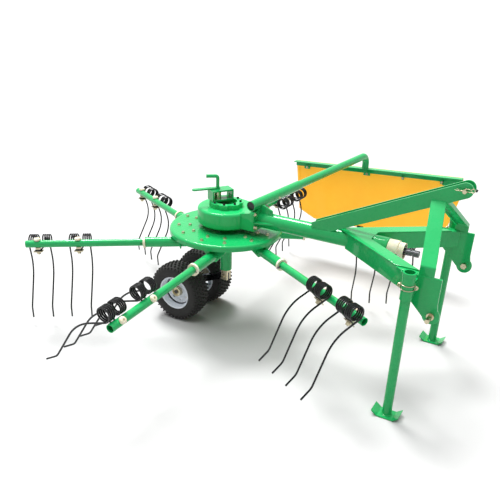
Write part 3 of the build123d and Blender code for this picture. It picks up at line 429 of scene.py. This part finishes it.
def add_knob(shape, centre, across, radius, lean, turn):
    knob = bmesh.ops.create_cube(shape, size=1)["verts"]
    bmesh.ops.scale(shape, verts=[v for v in knob if v.co.z > 0], vec=KNOB_TOP)
    bmesh.ops.scale(shape, verts=knob, vec=KNOB_SIZE)
    bmesh.ops.translate(shape, verts=knob, vec=(0, 0, KNOB_SIZE[2] / 2 - KNOB_SINK))
    bmesh.ops.rotate(shape, verts=knob, cent=(0, 0, 0), matrix=Matrix.Rotation(-lean, 3, "X"))
    bmesh.ops.translate(shape, verts=knob, vec=(0, across, radius))
    bmesh.ops.rotate(shape, verts=knob, cent=(0, 0, 0), matrix=Matrix.Rotation(turn, 3, "Y"))
    bmesh.ops.translate(shape, verts=knob, vec=centre)


for side, hand in SIDES:
    shape = bmesh.new()
    centre = (WHEEL_X, hand * WHEEL_Y, WHEEL_Z)
    spin_round_axle(shape, TYRE_OUTLINE + tuple((-a, r) for a, r in TYRE_OUTLINE[-2::-1]), centre, TYRE_STEPS)
    for row, (across, radius, lean) in enumerate(KNOB_ROWS):
        for face in (-1, 1) if across else (1,):
            for count in range(KNOBS_ROUND):
                turn = (count + 0.5 * (row % 2)) * 2 * math.pi / KNOBS_ROUND
                add_knob(shape, centre, face * across, radius, math.radians(face * lean), turn)
    finish_piece(shape, f"knobbed_tyre_{side}", "tyre", f"wheel_{side}", [f"tyre_{side}"])

# %% [markdown]
# A rim is pressed sheet steel: a rolled flange holds the tyre's bead, a deep barrel steps in to a dish, and slots
# round the dish let dust out. It is spun like the tyre. Then a few faces of one band are deleted to open the slots,
# and a solidify gives the sheet its thickness. The zinc hub cup with its bearing is turned separately.

# %% Rims and hubs
RIM_OUTLINE = ((-60, 103), (-62.5, 105), (-64.5, 103), (-63, 98), (-52, 95), (-30, 93), (-10, 84), (18, 84), (34, 92),
               (52, 95), (63, 98), (64.5, 103), (62.5, 105), (60, 103))
DISH_OUTLINE = ((18, 84), (14, 79), (12, 70), (12, 58), (14, 50), (19, 44), (20, 30))
HUB_OUTLINE = ((-46, 0), (-46, 22), (-44, 24), (12, 26), (14, 31), (42, 31), (44, 29), (44, 25), (36, 23), (36, 15),
               (40, 13), (41, 8), (41, 0))
RIM_STEPS, HUB_STEPS, SHEET_MM = 64, 40, 3
SLOT_BAND, SLOT_EVERY, SLOT_LONG, DISH_HALF = (58, 70), 8, 3, 18

for side, hand in SIDES:
    shape = bmesh.new()
    centre = Vector((WHEEL_X, hand * WHEEL_Y, WHEEL_Z))
    for outline in (RIM_OUTLINE, DISH_OUTLINE):
        spin_round_axle(shape, [(hand * a, r) for a, r in outline], centre, RIM_STEPS)
    slots = []
    for face in shape.faces:
        spoke = face.calc_center_median() - centre
        step = int(math.atan2(spoke.z, spoke.x) * RIM_STEPS / (2 * math.pi) + RIM_STEPS)
        in_dish = SLOT_BAND[0] < math.hypot(spoke.x, spoke.z) < SLOT_BAND[1] and abs(spoke.y) < DISH_HALF
        if in_dish and step % SLOT_EVERY < SLOT_LONG:
            slots.append(face)
    bmesh.ops.delete(shape, geom=slots, context="FACES")
    rim = finish_piece(shape, f"pressed_rim_{side}", "rim_silver", f"wheel_{side}", [f"rim_{side}"])
    wall = rim.modifiers.new("sheet", "SOLIDIFY")
    wall.thickness, wall.offset = SHEET_MM * MM, 0
    shape = bmesh.new()
    spin_round_axle(shape, [(hand * a, r) for a, r in HUB_OUTLINE], centre, HUB_STEPS)
    finish_piece(shape, f"wheel_hub_{side}", "zinc", f"wheel_{side}")

# %% [markdown]
# The curtain stops the hay at the row's edge. It is one cut of coated cloth that hangs from the rail, so it starts as
# a flat grid in the hanging plane, trimmed by planes along its cut edges. Only the top edge is held, so the cloth
# swings in a little below the rail, and long soft waves grow towards the hem.

# %% Curtain
RAIL_PLACE, RAIL_TILT = Vector((384, 1272, 719)), math.radians(3.2)
CURTAIN_CUT = ((-551, 20), (681, 20), (681, -110), (601, -385), (40, -435), (-391, -415), (-521, -350))
CLOTH_CELLS, HEM_WIDE, CLOTH_MM, HEM_MM = (88, 34), 24, 2, 3.6
HANG_FROM, HANG_DEEP, SWING_IN, WAVE_DEEP = -40, 395, 11, 4.5
WAVES = ((1, 52, math.inf, 0.4), (0.6, 27, 160, 1.7), (0.8, 95, -70, 0))  # height, length, slant and start


def hang(point):
    """Moves a point of the flat cut, (along, 0, up), in towards the rotor by its wave, below the rail."""
    drop = max(0, HANG_FROM - point.z) / HANG_DEEP
    wave = sum(tall * math.sin(point.x / long + point.z / slant + start) for tall, long, slant, start in WAVES)
    return Vector((point.x, -SWING_IN * drop - WAVE_DEEP * drop * wave, point.z))


def tilt_with_rail(shape):
    bmesh.ops.rotate(shape, verts=shape.verts, cent=(0, 0, 0), matrix=Matrix.Rotation(-RAIL_TILT, 3, "Y"))
    bmesh.ops.translate(shape, verts=shape.verts, vec=RAIL_PLACE)


cut_x, cut_z = zip(*CURTAIN_CUT)
middle = Vector(((max(cut_x) + min(cut_x)) / 2, 0, (max(cut_z) + min(cut_z)) / 2))
size = Matrix.Diagonal((max(cut_x) - min(cut_x), max(cut_z) - min(cut_z), 1, 1))
shape = bmesh.new()
bmesh.ops.create_grid(shape, x_segments=CLOTH_CELLS[0], y_segments=CLOTH_CELLS[1], size=0.5)
bmesh.ops.transform(shape, verts=shape.verts,
                    matrix=Matrix.Translation(middle) @ Matrix.Rotation(math.pi / 2, 4, "X") @ size)
for (x0, z0), (x1, z1) in zip(CURTAIN_CUT, CURTAIN_CUT[1:] + CURTAIN_CUT[:1]):
    bmesh.ops.bisect_plane(shape, geom=shape.verts[:] + shape.edges[:] + shape.faces[:], dist=JOIN_MM,
                           plane_co=(x0, 0, z0), plane_no=(z0 - z1, 0, x1 - x0), clear_outer=True)
cut_area = sum(face.calc_area() for face in shape.faces) * MM * MM
print("curtain cut area", round(cut_area, 3), "square metres")

# %% [markdown]
# The edge of such a cloth is folded over and sewn. A border of the hem's width is inset while the cut is still flat.
# The flat cut also gives the UV map, so that the grid of threads isn't stretched by the waves. Then the cloth is
# hung. The border is copied to a second piece over the first, because a solidify has one thickness for a piece.

# %% Hem and hang
border = bmesh.ops.inset_region(shape, faces=shape.faces[:], use_boundary=True, thickness=HEM_WIDE,
                                use_even_offset=True)["faces"]
layer = shape.loops.layers.uv.new("cut")
for face in shape.faces:
    for loop in face.loops:
        loop[layer].uv = (loop.vert.co.x * MM, loop.vert.co.z * MM)
for vert in shape.verts:
    vert.co = hang(vert.co)
tilt_with_rail(shape)
hem_shape = shape.copy()
hem_places = {face.index for face in border}
hem_shape.faces.ensure_lookup_table()
bmesh.ops.delete(hem_shape, geom=[f for f in hem_shape.faces if f.index not in hem_places], context="FACES")
curtain = finish_piece(shape, "curtain_cloth", "tarpaulin", "curtain", ["curtain_sheet"])
hem = finish_piece(hem_shape, "curtain_hem", "tarpaulin", "curtain")
for piece, thickness in ((curtain, CLOTH_MM), (hem, HEM_MM)):
    wall = piece.modifiers.new("cloth", "SOLIDIFY")
    wall.thickness, wall.offset = thickness * MM, 0

# %% [markdown]
# Hexagon bolts hold the arm sockets to the rotor's disc. One helper makes a bolt head on its washer: a round washer
# and a six-sided head, both raised from a flat face and drawn in a little at the top, then turned to the direction
# that they point in.

# %% Bolt heads
WASHER_MM, WASHER_SIDES, BOLT_TAPER = 2, 20, 0.93
DISC_TOP, BOLT_CIRCLES, BOLT_HEADINGS, DISC_BOLT = 615, (212, 277), (0, 32.5), (16, 7, 11)


def raise_disc(shape, sides, radius, tall, place):
    """Draws a disc, raises its face, and gives the vertices of the foot and the raised face."""
    foot = bmesh.ops.create_circle(shape, segments=sides, radius=radius, cap_ends=True, matrix=place)["verts"]
    flat = list({face for vert in foot for face in vert.link_faces})
    top = only(Face, bmesh.ops.extrude_face_region(shape, geom=flat)["geom"])[0]
    bmesh.ops.translate(shape, verts=top.verts, vec=(0, 0, tall))
    return foot, top


def add_bolt(shape, place, heading, flats, head, washer):
    bolt = []
    for sides, radius, low, tall in ((WASHER_SIDES, washer, 0, WASHER_MM),
                                     (6, flats / math.sqrt(3), WASHER_MM, head)):
        foot, top = raise_disc(shape, sides, radius, tall, Matrix.Translation((0, 0, low)))
        bmesh.ops.scale(shape, verts=top.verts, vec=(BOLT_TAPER, BOLT_TAPER, 1))
        bolt += foot + list(top.verts)
    bmesh.ops.transform(shape, matrix=aim(place, heading), verts=bolt)


shape = bmesh.new()
for number in range(len(ARM_ROLL)):
    for extra in BOLT_HEADINGS:
        turn = math.radians(ARM_STEP * number + extra)
        for radius in BOLT_CIRCLES:
            add_bolt(shape, (radius * math.cos(turn), radius * math.sin(turn), DISC_TOP), (0, 0, 1), *DISC_BOLT)
finish_piece(shape, "disc_bolts", "zinc", "rotor")

# %% [markdown]
# Cut steel never has a knife edge: sawing, grinding and the paint film leave a small round that catches the light
# along every plate. The solids are kept sharp, so a painted solid is copied, its loose triangles are merged into
# whole faces, and its hard edges get a bevel of a real size. A bevel modifier could round them too, but a script can
# also keep the line sharp where a round meets a flat face, so that the flat stays evenly lit.

# %% Copies with soft edges
SNAP_MM, FLAT, HARD = 0.05, math.radians(0.6), math.radians(35)
slot_of = {part["node"]: part["material_slot"] for part in frame["record"]["subparts"]}
body_of = {name: body for body, names in frame["record"]["behaviour"]["bodies"].items() for name in names}


def copy_solid(name):
    shape = bmesh.new()
    shape.from_mesh(frame["nodes"][name].data)
    bmesh.ops.transform(shape, matrix=Matrix.Scale(1 / MM, 4) @ Matrix.Translation(-ROTOR), verts=shape.verts)
    bmesh.ops.remove_doubles(shape, verts=shape.verts, dist=SNAP_MM)
    bmesh.ops.dissolve_limit(shape, angle_limit=FLAT, verts=shape.verts, edges=shape.edges)
    return shape


def round_edges(shape, edges, offset, segments, clamp=False):
    return bmesh.ops.bevel(shape, geom=edges, offset=offset, offset_type="OFFSET", affect="EDGES", segments=segments,
                           profile=0.5, material=-1, clamp_overlap=clamp)["faces"]


def soften(shape, edge_mm, segments):
    """Rounds the hard edges, and keeps the line sharp where a round meets a flat face."""
    hard = [edge for edge in shape.edges if edge.is_manifold and edge.calc_face_angle() > HARD]
    rounded = set(round_edges(shape, hard, edge_mm, segments, True))
    for edge in shape.edges:
        edge.smooth = len({face in rounded for face in edge.link_faces}) < 2


def finish_copy(shape, name):
    finish_piece(shape, f"painted_{name}", slot_of[name], body_of[name], [name])


print("solids to copy from", len(slot_of))

# %% [markdown]
# The copies now stand for the painted solids. The V legs are rolled box tube, so their rounds are much larger than a
# plate's. The struts are folded strips, so their folds, which are blunter than a cut edge, get a wide round first.

# %% Soft edges on the painted steel
EDGE_MM = {"v_leg_right": 8, "v_leg_left": 8, "v_web": 2, "mast_cheek_right": 2, "mast_cheek_left": 2,
           "strut_right": 3.8, "strut_left": 3.8, "hitch_plate_right": 2, "hitch_plate_left": 2, "crank_yoke": 2.5,
           "carriage_beam": 5, "curtain_rail": 1.5}
WIDE_EDGE, WIDE_STEPS, SMALL_STEPS = 3, 4, 2
BLUNT, KNEE_MM, KNEE_STEPS, ACROSS = math.radians(60), 14, 6, 0.9


def round_knee(shape):
    """Rounds the folds that run across a strip, which are far blunter than its cut edges."""
    folds = [edge for edge in shape.edges if edge.is_manifold and HARD < edge.calc_face_angle() < BLUNT
             and abs((edge.verts[1].co - edge.verts[0].co).normalized().x) > ACROSS]
    round_edges(shape, folds, KNEE_MM, KNEE_STEPS, True)
    print("folds rounded", len(folds))


for name, edge_mm in EDGE_MM.items():
    shape = copy_solid(name)
    if name.startswith("strut"):
        round_knee(shape)
    soften(shape, edge_mm, WIDE_STEPS if edge_mm > WIDE_EDGE else SMALL_STEPS)
    finish_copy(shape, name)

# %% [markdown]
# The parking stands are pipes, so the copy of each stand also gets its hollow: the round top face is inset by the
# pipe's wall and pushed down. A ring of weld joins the pipe to its foot.

# %% Hollow stands
STAND_X, STAND_Y, STAND_R, STAND_WALL, STAND_HOLLOW, STAND_EDGE = 1212, 421, 23.5, 4, 90, 1.5
FOOT_TOP, FOOT_WELD, WELD_OUT = 9, 3.5, 1


def add_hoop(shape, centre, axis, radius, wire, steps=36):
    axis = Vector(axis).normalized()
    spoke = axis.orthogonal().normalized()
    ring = start_wire(shape, Vector(centre) + spoke * radius, axis.cross(spoke), wire)
    bmesh.ops.spin(shape, geom=ring, cent=centre, axis=axis, angle=2 * math.pi, steps=steps, use_merge=True)


for side, hand in SIDES:
    shape = copy_solid(f"stand_{side}")
    soften(shape, STAND_EDGE, SMALL_STEPS)
    top = max(shape.faces, key=lambda face: face.calc_center_median().z)
    bmesh.ops.inset_region(shape, faces=[top], thickness=STAND_WALL, use_boundary=True, use_even_offset=True)
    bmesh.ops.translate(shape, verts=top.verts, vec=(0, 0, -STAND_HOLLOW))
    add_hoop(shape, (STAND_X, hand * STAND_Y, FOOT_TOP), (0, 0, 1), STAND_R + WELD_OUT, FOOT_WELD)
    finish_copy(shape, f"stand_{side}")

# %% [markdown]
# The hitch frame is welded together, and the seams show under the paint. A weld bead is a wire whose ring swells and
# shrinks as it runs, which gives the scales of the molten pool. The seams are listed for the left side, and the right
# side is its mirror.

# %% Weld beads
BEADS = (((1166, 33, 1001), (1230, 33, 1001), 4), ((1236, 334, 746), (1300, 334, 746), 4),
         ((1152, 332, 747), (1232, 332, 747), 3.5), ((560, 33, 730), (655, 33, 730), 3.5),
         ((1203, 350, 732), (1221, 350, 732), 3.5))
BEAD_START, SCALE_MM, SCALE_RINGS, SWELL, SWELL_TURN = 0.7, 7, 3, 0.22, 2.1


def add_bead(shape, start, end, radius):
    start, end = Vector(start), Vector(end)
    count = round((end - start).length / SCALE_MM * SCALE_RINGS)
    ring = start_wire(shape, start, end - start, radius * BEAD_START)
    close_wire(shape, ring)
    for step in range(count):
        ring = run_wire(shape, ring, (end - start) / count)
        swell = 1 + SWELL * math.sin(step * SWELL_TURN) - SWELL * math.sin((step - 1) * SWELL_TURN)
        middle = start + (end - start) * (step + 1) / count
        bmesh.ops.scale(shape, verts=only(Vert, ring), vec=(swell,) * 3, space=Matrix.Translation(-middle))
    close_wire(shape, ring)


shape = bmesh.new()
for start, end, radius in BEADS:
    for hand in (-1, 1):
        add_bead(shape, (start[0], hand * start[1], start[2]), (end[0], hand * end[1], end[2]), radius)
finish_piece(shape, "weld_beads", "green_paint", "frame")

# %% [markdown]
# Wire clips lock the pins. Each stand socket wears a sprung double hoop with an eye at both ends, where the wire is
# wound three times. Hoops and eyes are rings spun from the wire's section, and short straight wires join them.

# %% Stand clips
CLIP_Z, CLIP_GAP, CLIP_R, CLIP_WIRE, EYE_OUT, EYE_R, EYE_STEPS = 715, 22, 31, 2, 39, 6.5, 20

for side, hand in SIDES:
    shape = bmesh.new()
    pipe_y = hand * STAND_Y
    for up in (-1, 1):
        add_hoop(shape, (STAND_X, pipe_y, CLIP_Z + up * CLIP_GAP / 2), (0, 0, 1), CLIP_R, CLIP_WIRE)
    for end in (-1, 1):
        for turn in (-1, 0, 1):
            eye = (STAND_X + end * EYE_OUT, pipe_y + turn * 2 * CLIP_WIRE, CLIP_Z)
            add_hoop(shape, eye, (0, 1, 0), EYE_R, CLIP_WIRE, EYE_STEPS)
        for up in (-1, 1):
            start = Vector((STAND_X + end * CLIP_R, pipe_y, CLIP_Z + up * CLIP_GAP / 2))
            along = Vector((STAND_X + end * EYE_OUT, pipe_y + up * 2 * CLIP_WIRE, CLIP_Z + up * EYE_R)) - start
            close_wire(shape, run_wire(shape, start_wire(shape, start, along, CLIP_WIRE), along))
    finish_piece(shape, f"stand_clip_{side}", "zinc", "frame")

# %% [markdown]
# The top link pin has an R-clip: one straight leg goes through the pin, a ring gives the spring, and the wavy second
# leg snaps over the outside. The ring moves sideways as it is bent, so that its end passes the straight leg. The far
# end of the pin is a thick black handle with one bend and a rounded tip.

# %% R-clip and the pin's handle
TOP_X, TOP_Z, TOP_CLIP_Y = 1310, 1068, -46
R_START, R_LONG, R_WIRE, R_RING, R_TURN, R_STEPS, R_RISE = 1266, 80, 2, 9, 1.5 * math.pi + 0.35, 24, -0.12
R_LEG = ((1341, 1077), (1330, 1082), (1314, 1081), (1294, 1069), (1272, 1077))
R_LEG_OUT, R_LEG_ROUNDS, R_LEG_STEPS = 3, (8, 14, 14), 5
HANDLE = (Vector((TOP_X, 40, TOP_Z)), Vector((TOP_X, 62, TOP_Z)), Vector((1350, 62, 1047)))
HANDLE_R, HANDLE_SIDES, HANDLE_BEND, HANDLE_EDGE = 7, 12, 10, 2.5

shape = bmesh.new()
ring = start_wire(shape, (R_START, TOP_CLIP_Y, TOP_Z), (1, 0, 0), R_WIRE)
close_wire(shape, ring)
ring = run_wire(shape, ring, (R_LONG, 0, 0))
close_wire(shape, bend_wire(shape, ring, (R_START + R_LONG, TOP_CLIP_Y, TOP_Z + R_RING), (0, -1, 0), R_TURN, R_STEPS,
                            Vector((0, R_RISE, 0))))
legs = [Vector((x, TOP_CLIP_Y - R_LEG_OUT, z)) for x, z in R_LEG]
ring = start_wire(shape, legs[0], legs[1] - legs[0], R_WIRE)
close_wire(shape, ring)
close_wire(shape, lay_wire(shape, ring, legs, R_LEG_ROUNDS, R_LEG_STEPS))
finish_piece(shape, "top_pin_clip", "zinc", "frame")

shape = bmesh.new()
ring = start_wire(shape, HANDLE[0], HANDLE[1] - HANDLE[0], HANDLE_R, HANDLE_SIDES)
close_wire(shape, ring)
tip = close_wire(shape, lay_wire(shape, ring, HANDLE, [HANDLE_BEND]))[0]
round_edges(shape, tip.edges[:], HANDLE_EDGE, SMALL_STEPS)
finish_piece(shape, "top_pin_handle", "spring_steel", "frame")

# %% [markdown]
# The gearbox and the drive tube meet at two bolted flanges, and a small bolt sits on the curtain's sleeve. Socket
# screws hold the bearing ring on top of the gearbox, one on each of its eight lobes. A socket screw is a raised disc
# whose top is inset by the wall of the socket and pushed down.

# %% Flange bolts and socket screws
FLANGE_FACE, FLANGE_PLACES, FLANGE_BOLT = 232, ((71, 746), (73, 672)), (19, 9, 13)
SLEEVE_PLACE, SLEEVE_UP, SLEEVE_BOLT = (311, 60, 822), (0.3, 0, 1), (10, 5, 6)
RING_TOP, LOBES, LOBE_FIRST, SCREW_CIRCLE = 765, 8, 22.5, 82
SCREW_R, SCREW_TALL, SCREW_SIDES, SOCKET_WALL, SOCKET_DEEP = 7, 8, 16, 2.6, 4

shape = bmesh.new()
for hand in (-1, 1):
    for across, up in FLANGE_PLACES:
        add_bolt(shape, (FLANGE_FACE, hand * across, up), (1, 0, 0), *FLANGE_BOLT)
add_bolt(shape, SLEEVE_PLACE, SLEEVE_UP, *SLEEVE_BOLT)
finish_piece(shape, "flange_bolts", "zinc", "frame")

shape = bmesh.new()
for lobe in range(LOBES):
    turn = math.radians(LOBE_FIRST + 360 / LOBES * lobe)
    place = Matrix.Translation((SCREW_CIRCLE * math.cos(turn), SCREW_CIRCLE * math.sin(turn), RING_TOP))
    head = raise_disc(shape, SCREW_SIDES, SCREW_R, SCREW_TALL, place)[1]
    bmesh.ops.inset_region(shape, faces=[head], thickness=SOCKET_WALL, use_even_offset=True)
    bmesh.ops.translate(shape, verts=head.verts, vec=(0, 0, -SOCKET_DEEP))
finish_piece(shape, "ring_screws", "spring_steel", "frame")

# %% [markdown]
# A steel gusset props the curtain's sleeve on the drive tube, and a black plug closes the sleeve's open end. The
# gusset is one outline made thick. The plug is a short length of round bar along the sleeve's own line, with
# a rounded rim.

# %% Sleeve gusset and plug
GUSSET = ((216, 738), (216, 764), (252, 790), (310, 767), (312, 738))
GUSSET_Y, GUSSET_THICK, GUSSET_EDGE = -15, 9, 1.5
MOUTH, FAR_BEND = Vector((205, -75, 792)), Vector((384, 1246, 832))
PLUG_R, PLUG_SIDES, PLUG_IN, PLUG_LONG, PLUG_EDGE, PLUG_STEPS = 24, 40, 16, 14, 2.5, 3

shape = bmesh.new()
outline = [shape.verts.new((x, GUSSET_Y, z)) for x, z in GUSSET]
run_wire(shape, bmesh.ops.contextual_create(shape, geom=outline)["faces"], (0, GUSSET_THICK, 0))
bmesh.ops.recalc_face_normals(shape, faces=shape.faces)
soften(shape, GUSSET_EDGE, SMALL_STEPS)
finish_piece(shape, "sleeve_gusset", "green_paint", "frame")

inward = (FAR_BEND - MOUTH).normalized()
shape = bmesh.new()
ring = start_wire(shape, MOUTH + inward * PLUG_IN, -inward, PLUG_R, PLUG_SIDES)
ring = only(Edge, run_wire(shape, ring, -inward * PLUG_LONG))
close_wire(shape, ring)
round_edges(shape, ring, PLUG_EDGE, PLUG_STEPS)
finish_piece(shape, "sleeve_plug", "spring_steel", "frame")

# %% [markdown]
# On every arm a nut closes each tine clamp from below, a cap covers the bolt from the side, and a pin with a pull
# ring keeps the arm in its socket. The caps take the cream plastic, and their pale colour is painted highlight for
# the shine on the zinc bolt ends. Nuts, caps and pins are drawn on an arm that lies along the Z axis and moved out to
# each arm in turn. Nuts and caps roll with the tines, and the pins don't.

# %% Clamp nuts, caps and arm pins
CAP_OUTLINE = ((-20, 0), (-20, 17), (-23, 19.5), (-28, 19.5), (-33, 17), (-36, 12), (-36, 7), (-33, 6), (-33, 0))
CAP_STEPS, NUT_BELOW, NUT_SIZE = 28, 50, (19, 9, 14)
PIN_START, PIN_LONG, PIN_R = (-31, 0, 492), 66, 3.5
PULL_PLACE, PULL_R, PULL_WIRE = (35, 0, 498), 7, 2

nuts, caps, pins = bmesh.new(), bmesh.new(), bmesh.new()
for number, roll in enumerate(ARM_ROLL):
    made = [len(shape.verts) for shape in (nuts, caps, pins)]
    for bolt in TINE_BOLTS:
        add_bolt(nuts, (0, NUT_BELOW, bolt), (0, 1, 0), *NUT_SIZE)
        spin_round_axle(caps, CAP_OUTLINE, (0, 0, bolt), CAP_STEPS)
    ring = start_wire(pins, PIN_START, (1, 0, 0), PIN_R)
    close_wire(pins, ring)
    close_wire(pins, run_wire(pins, ring, (PIN_LONG, 0, 0)))
    add_hoop(pins, PULL_PLACE, (0, 1, 0), PULL_R, PULL_WIRE, EYE_STEPS)
    for shape, count, turn in zip((nuts, caps, pins), made, (roll, roll, 0)):
        move_new(shape, count, arm_frame(number, turn))
finish_piece(nuts, "clamp_nuts", "zinc", "rotor")
# the caps' pale cream is painted highlight, standing for the shine on the zinc bolt ends
finish_piece(caps, "bolt_caps_painted_highlight", "cream_plastic", "rotor")
finish_piece(pins, "arm_pins", "spring_steel", "rotor")

# %% [markdown]
# The curtain's rail is an angle iron. Tabs under it pinch the cloth with a bolt each, a longer plate backs the free
# end, and two black clips weigh the hem. They are set out along the rail, so they are built level and tilted with it.

# %% Rail tabs and hem clips
TABS = ((-458, 48), (-233, 20), (11, 52), (275, 20), (544, 26))
TAB_Y, TAB_Z, TAB_EDGE, TAB_BOLT_Z, TAB_BOLT = (-13, -7.5), (-36, -4), 1.5, -24, (13, 6, 9)
END_X, END_Z = (548, 678), (-44, 6)
HEM_CLIPS = ((-13, -431), (231, -419))
CLIP_HALF, CLIP_THICK, CLIP_UNDER, CLIP_OVER, CLIP_EDGE = 26, 6, 6, 12, 2


def add_block(shape, low, high, edge_mm):
    size, middle = Vector(high) - Vector(low), (Vector(high) + Vector(low)) / 2
    made = bmesh.ops.create_cube(shape, size=1, matrix=Matrix.Translation(middle) @ Matrix.Diagonal((*size, 1)))
    round_edges(shape, list({edge for vert in made["verts"] for edge in vert.link_edges}), edge_mm, SMALL_STEPS)


tabs, bolts, clips = bmesh.new(), bmesh.new(), bmesh.new()
for along, wide in TABS:
    add_block(tabs, (along - wide / 2, TAB_Y[0], TAB_Z[0]), (along + wide / 2, TAB_Y[1], TAB_Z[1]), TAB_EDGE)
    add_bolt(bolts, (along, TAB_Y[0], TAB_BOLT_Z), (0, -1, 0), *TAB_BOLT)
add_block(tabs, (END_X[0], TAB_Y[0], END_Z[0]), (END_X[1], TAB_Y[1], END_Z[1]), TAB_EDGE)
for along, up in HEM_CLIPS:
    sheet_y = hang(Vector((along, 0, up))).y
    add_block(clips, (along - CLIP_HALF, sheet_y - CLIP_THICK, up - CLIP_UNDER),
              (along + CLIP_HALF, sheet_y + CLIP_THICK, up + CLIP_OVER), CLIP_EDGE)
for shape, name, finish in ((tabs, "rail_tabs", "green_paint"), (bolts, "rail_bolts", "zinc"),
                            (clips, "hem_clips", "spring_steel")):
    tilt_with_rail(shape)
    finish_piece(shape, name, finish, "curtain")

# %% [markdown]
# The machine stands on a plain pale floor. It is one dull square, so large that its edge is never seen, and it is
# named as staging, which keeps it out of the part.

# %% Floor
FLOOR_HALF, FLOOR_ROUGH = 150, 0.9

pale, pale_shader = new_material("pale_floor")
node(pale, pale_shader, {"Base Color": linear("#BEBEBE"), "Roughness": FLOOR_ROUGH})
square = bmesh.new()
bmesh.ops.create_grid(square, x_segments=1, y_segments=1, size=FLOOR_HALF)
floor_mesh = bpy.data.meshes.new("floor")
square.to_mesh(floor_mesh)
square.free()
floor_mesh.materials.append(pale)
floor = add_object("floor", floor_mesh)
print("floor", 2 * FLOOR_HALF, "metres wide")

# %% [markdown]
# The light is soft daylight. A very broad lamp overhead lights every top and, by way of the floor, opens the shadows.
# It is kept out of the reflections, because so wide a lamp would lay a grey veil on the gloss. A narrower sun from
# behind the machine's left side draws the bright lines along the tubes and gives a soft shadow. The sky gives little
# light of its own, but the eye and the gloss see it as white. So the floor has no dark edge behind it, and a tube
# shines where its surface turns away.

# %% Light
SKY_LIGHT, SKY_SEEN = 0.22, 1
# name, strength, width in degrees, direction, shown in the gloss
LAMPS = (("soft_top", 3.8, 75, (0.1, 0, -1), False), ("key_sun", 3.2, 20, (0.4, -0.3, -0.9), True))

world = bpy.data.worlds.new("studio")
bpy.context.scene.world = world
world.use_nodes = True
path = node(world, "ShaderNodeLightPath")
seen = node(world, "ShaderNodeMath", None, {0: (path, "Is Camera Ray"), 1: (path, "Is Glossy Ray")},
            operation="MAXIMUM")
sky = node(world, "ShaderNodeMapRange", {"To Min": SKY_LIGHT, "To Max": SKY_SEEN}, {"Value": (seen, "Value")})
node(world, world.node_tree.nodes["Background"], {"Color": linear("#FFFFFF")}, {"Strength": (sky, "Result")})
for name, strength, wide, towards, in_gloss in LAMPS:
    lamp = add_object(name, bpy.data.lights.new(name, "SUN"))
    lamp.data.energy, lamp.data.angle = strength, math.radians(wide)
    lamp.visible_glossy = in_gloss
    lamp.rotation_mode = "QUATERNION"
    lamp.rotation_quaternion = Vector(towards).to_track_quat("-Z", "Y")
bpy.context.scene.view_settings.view_transform = "Standard"
print("lamps", [light.name for light in bpy.data.lights])
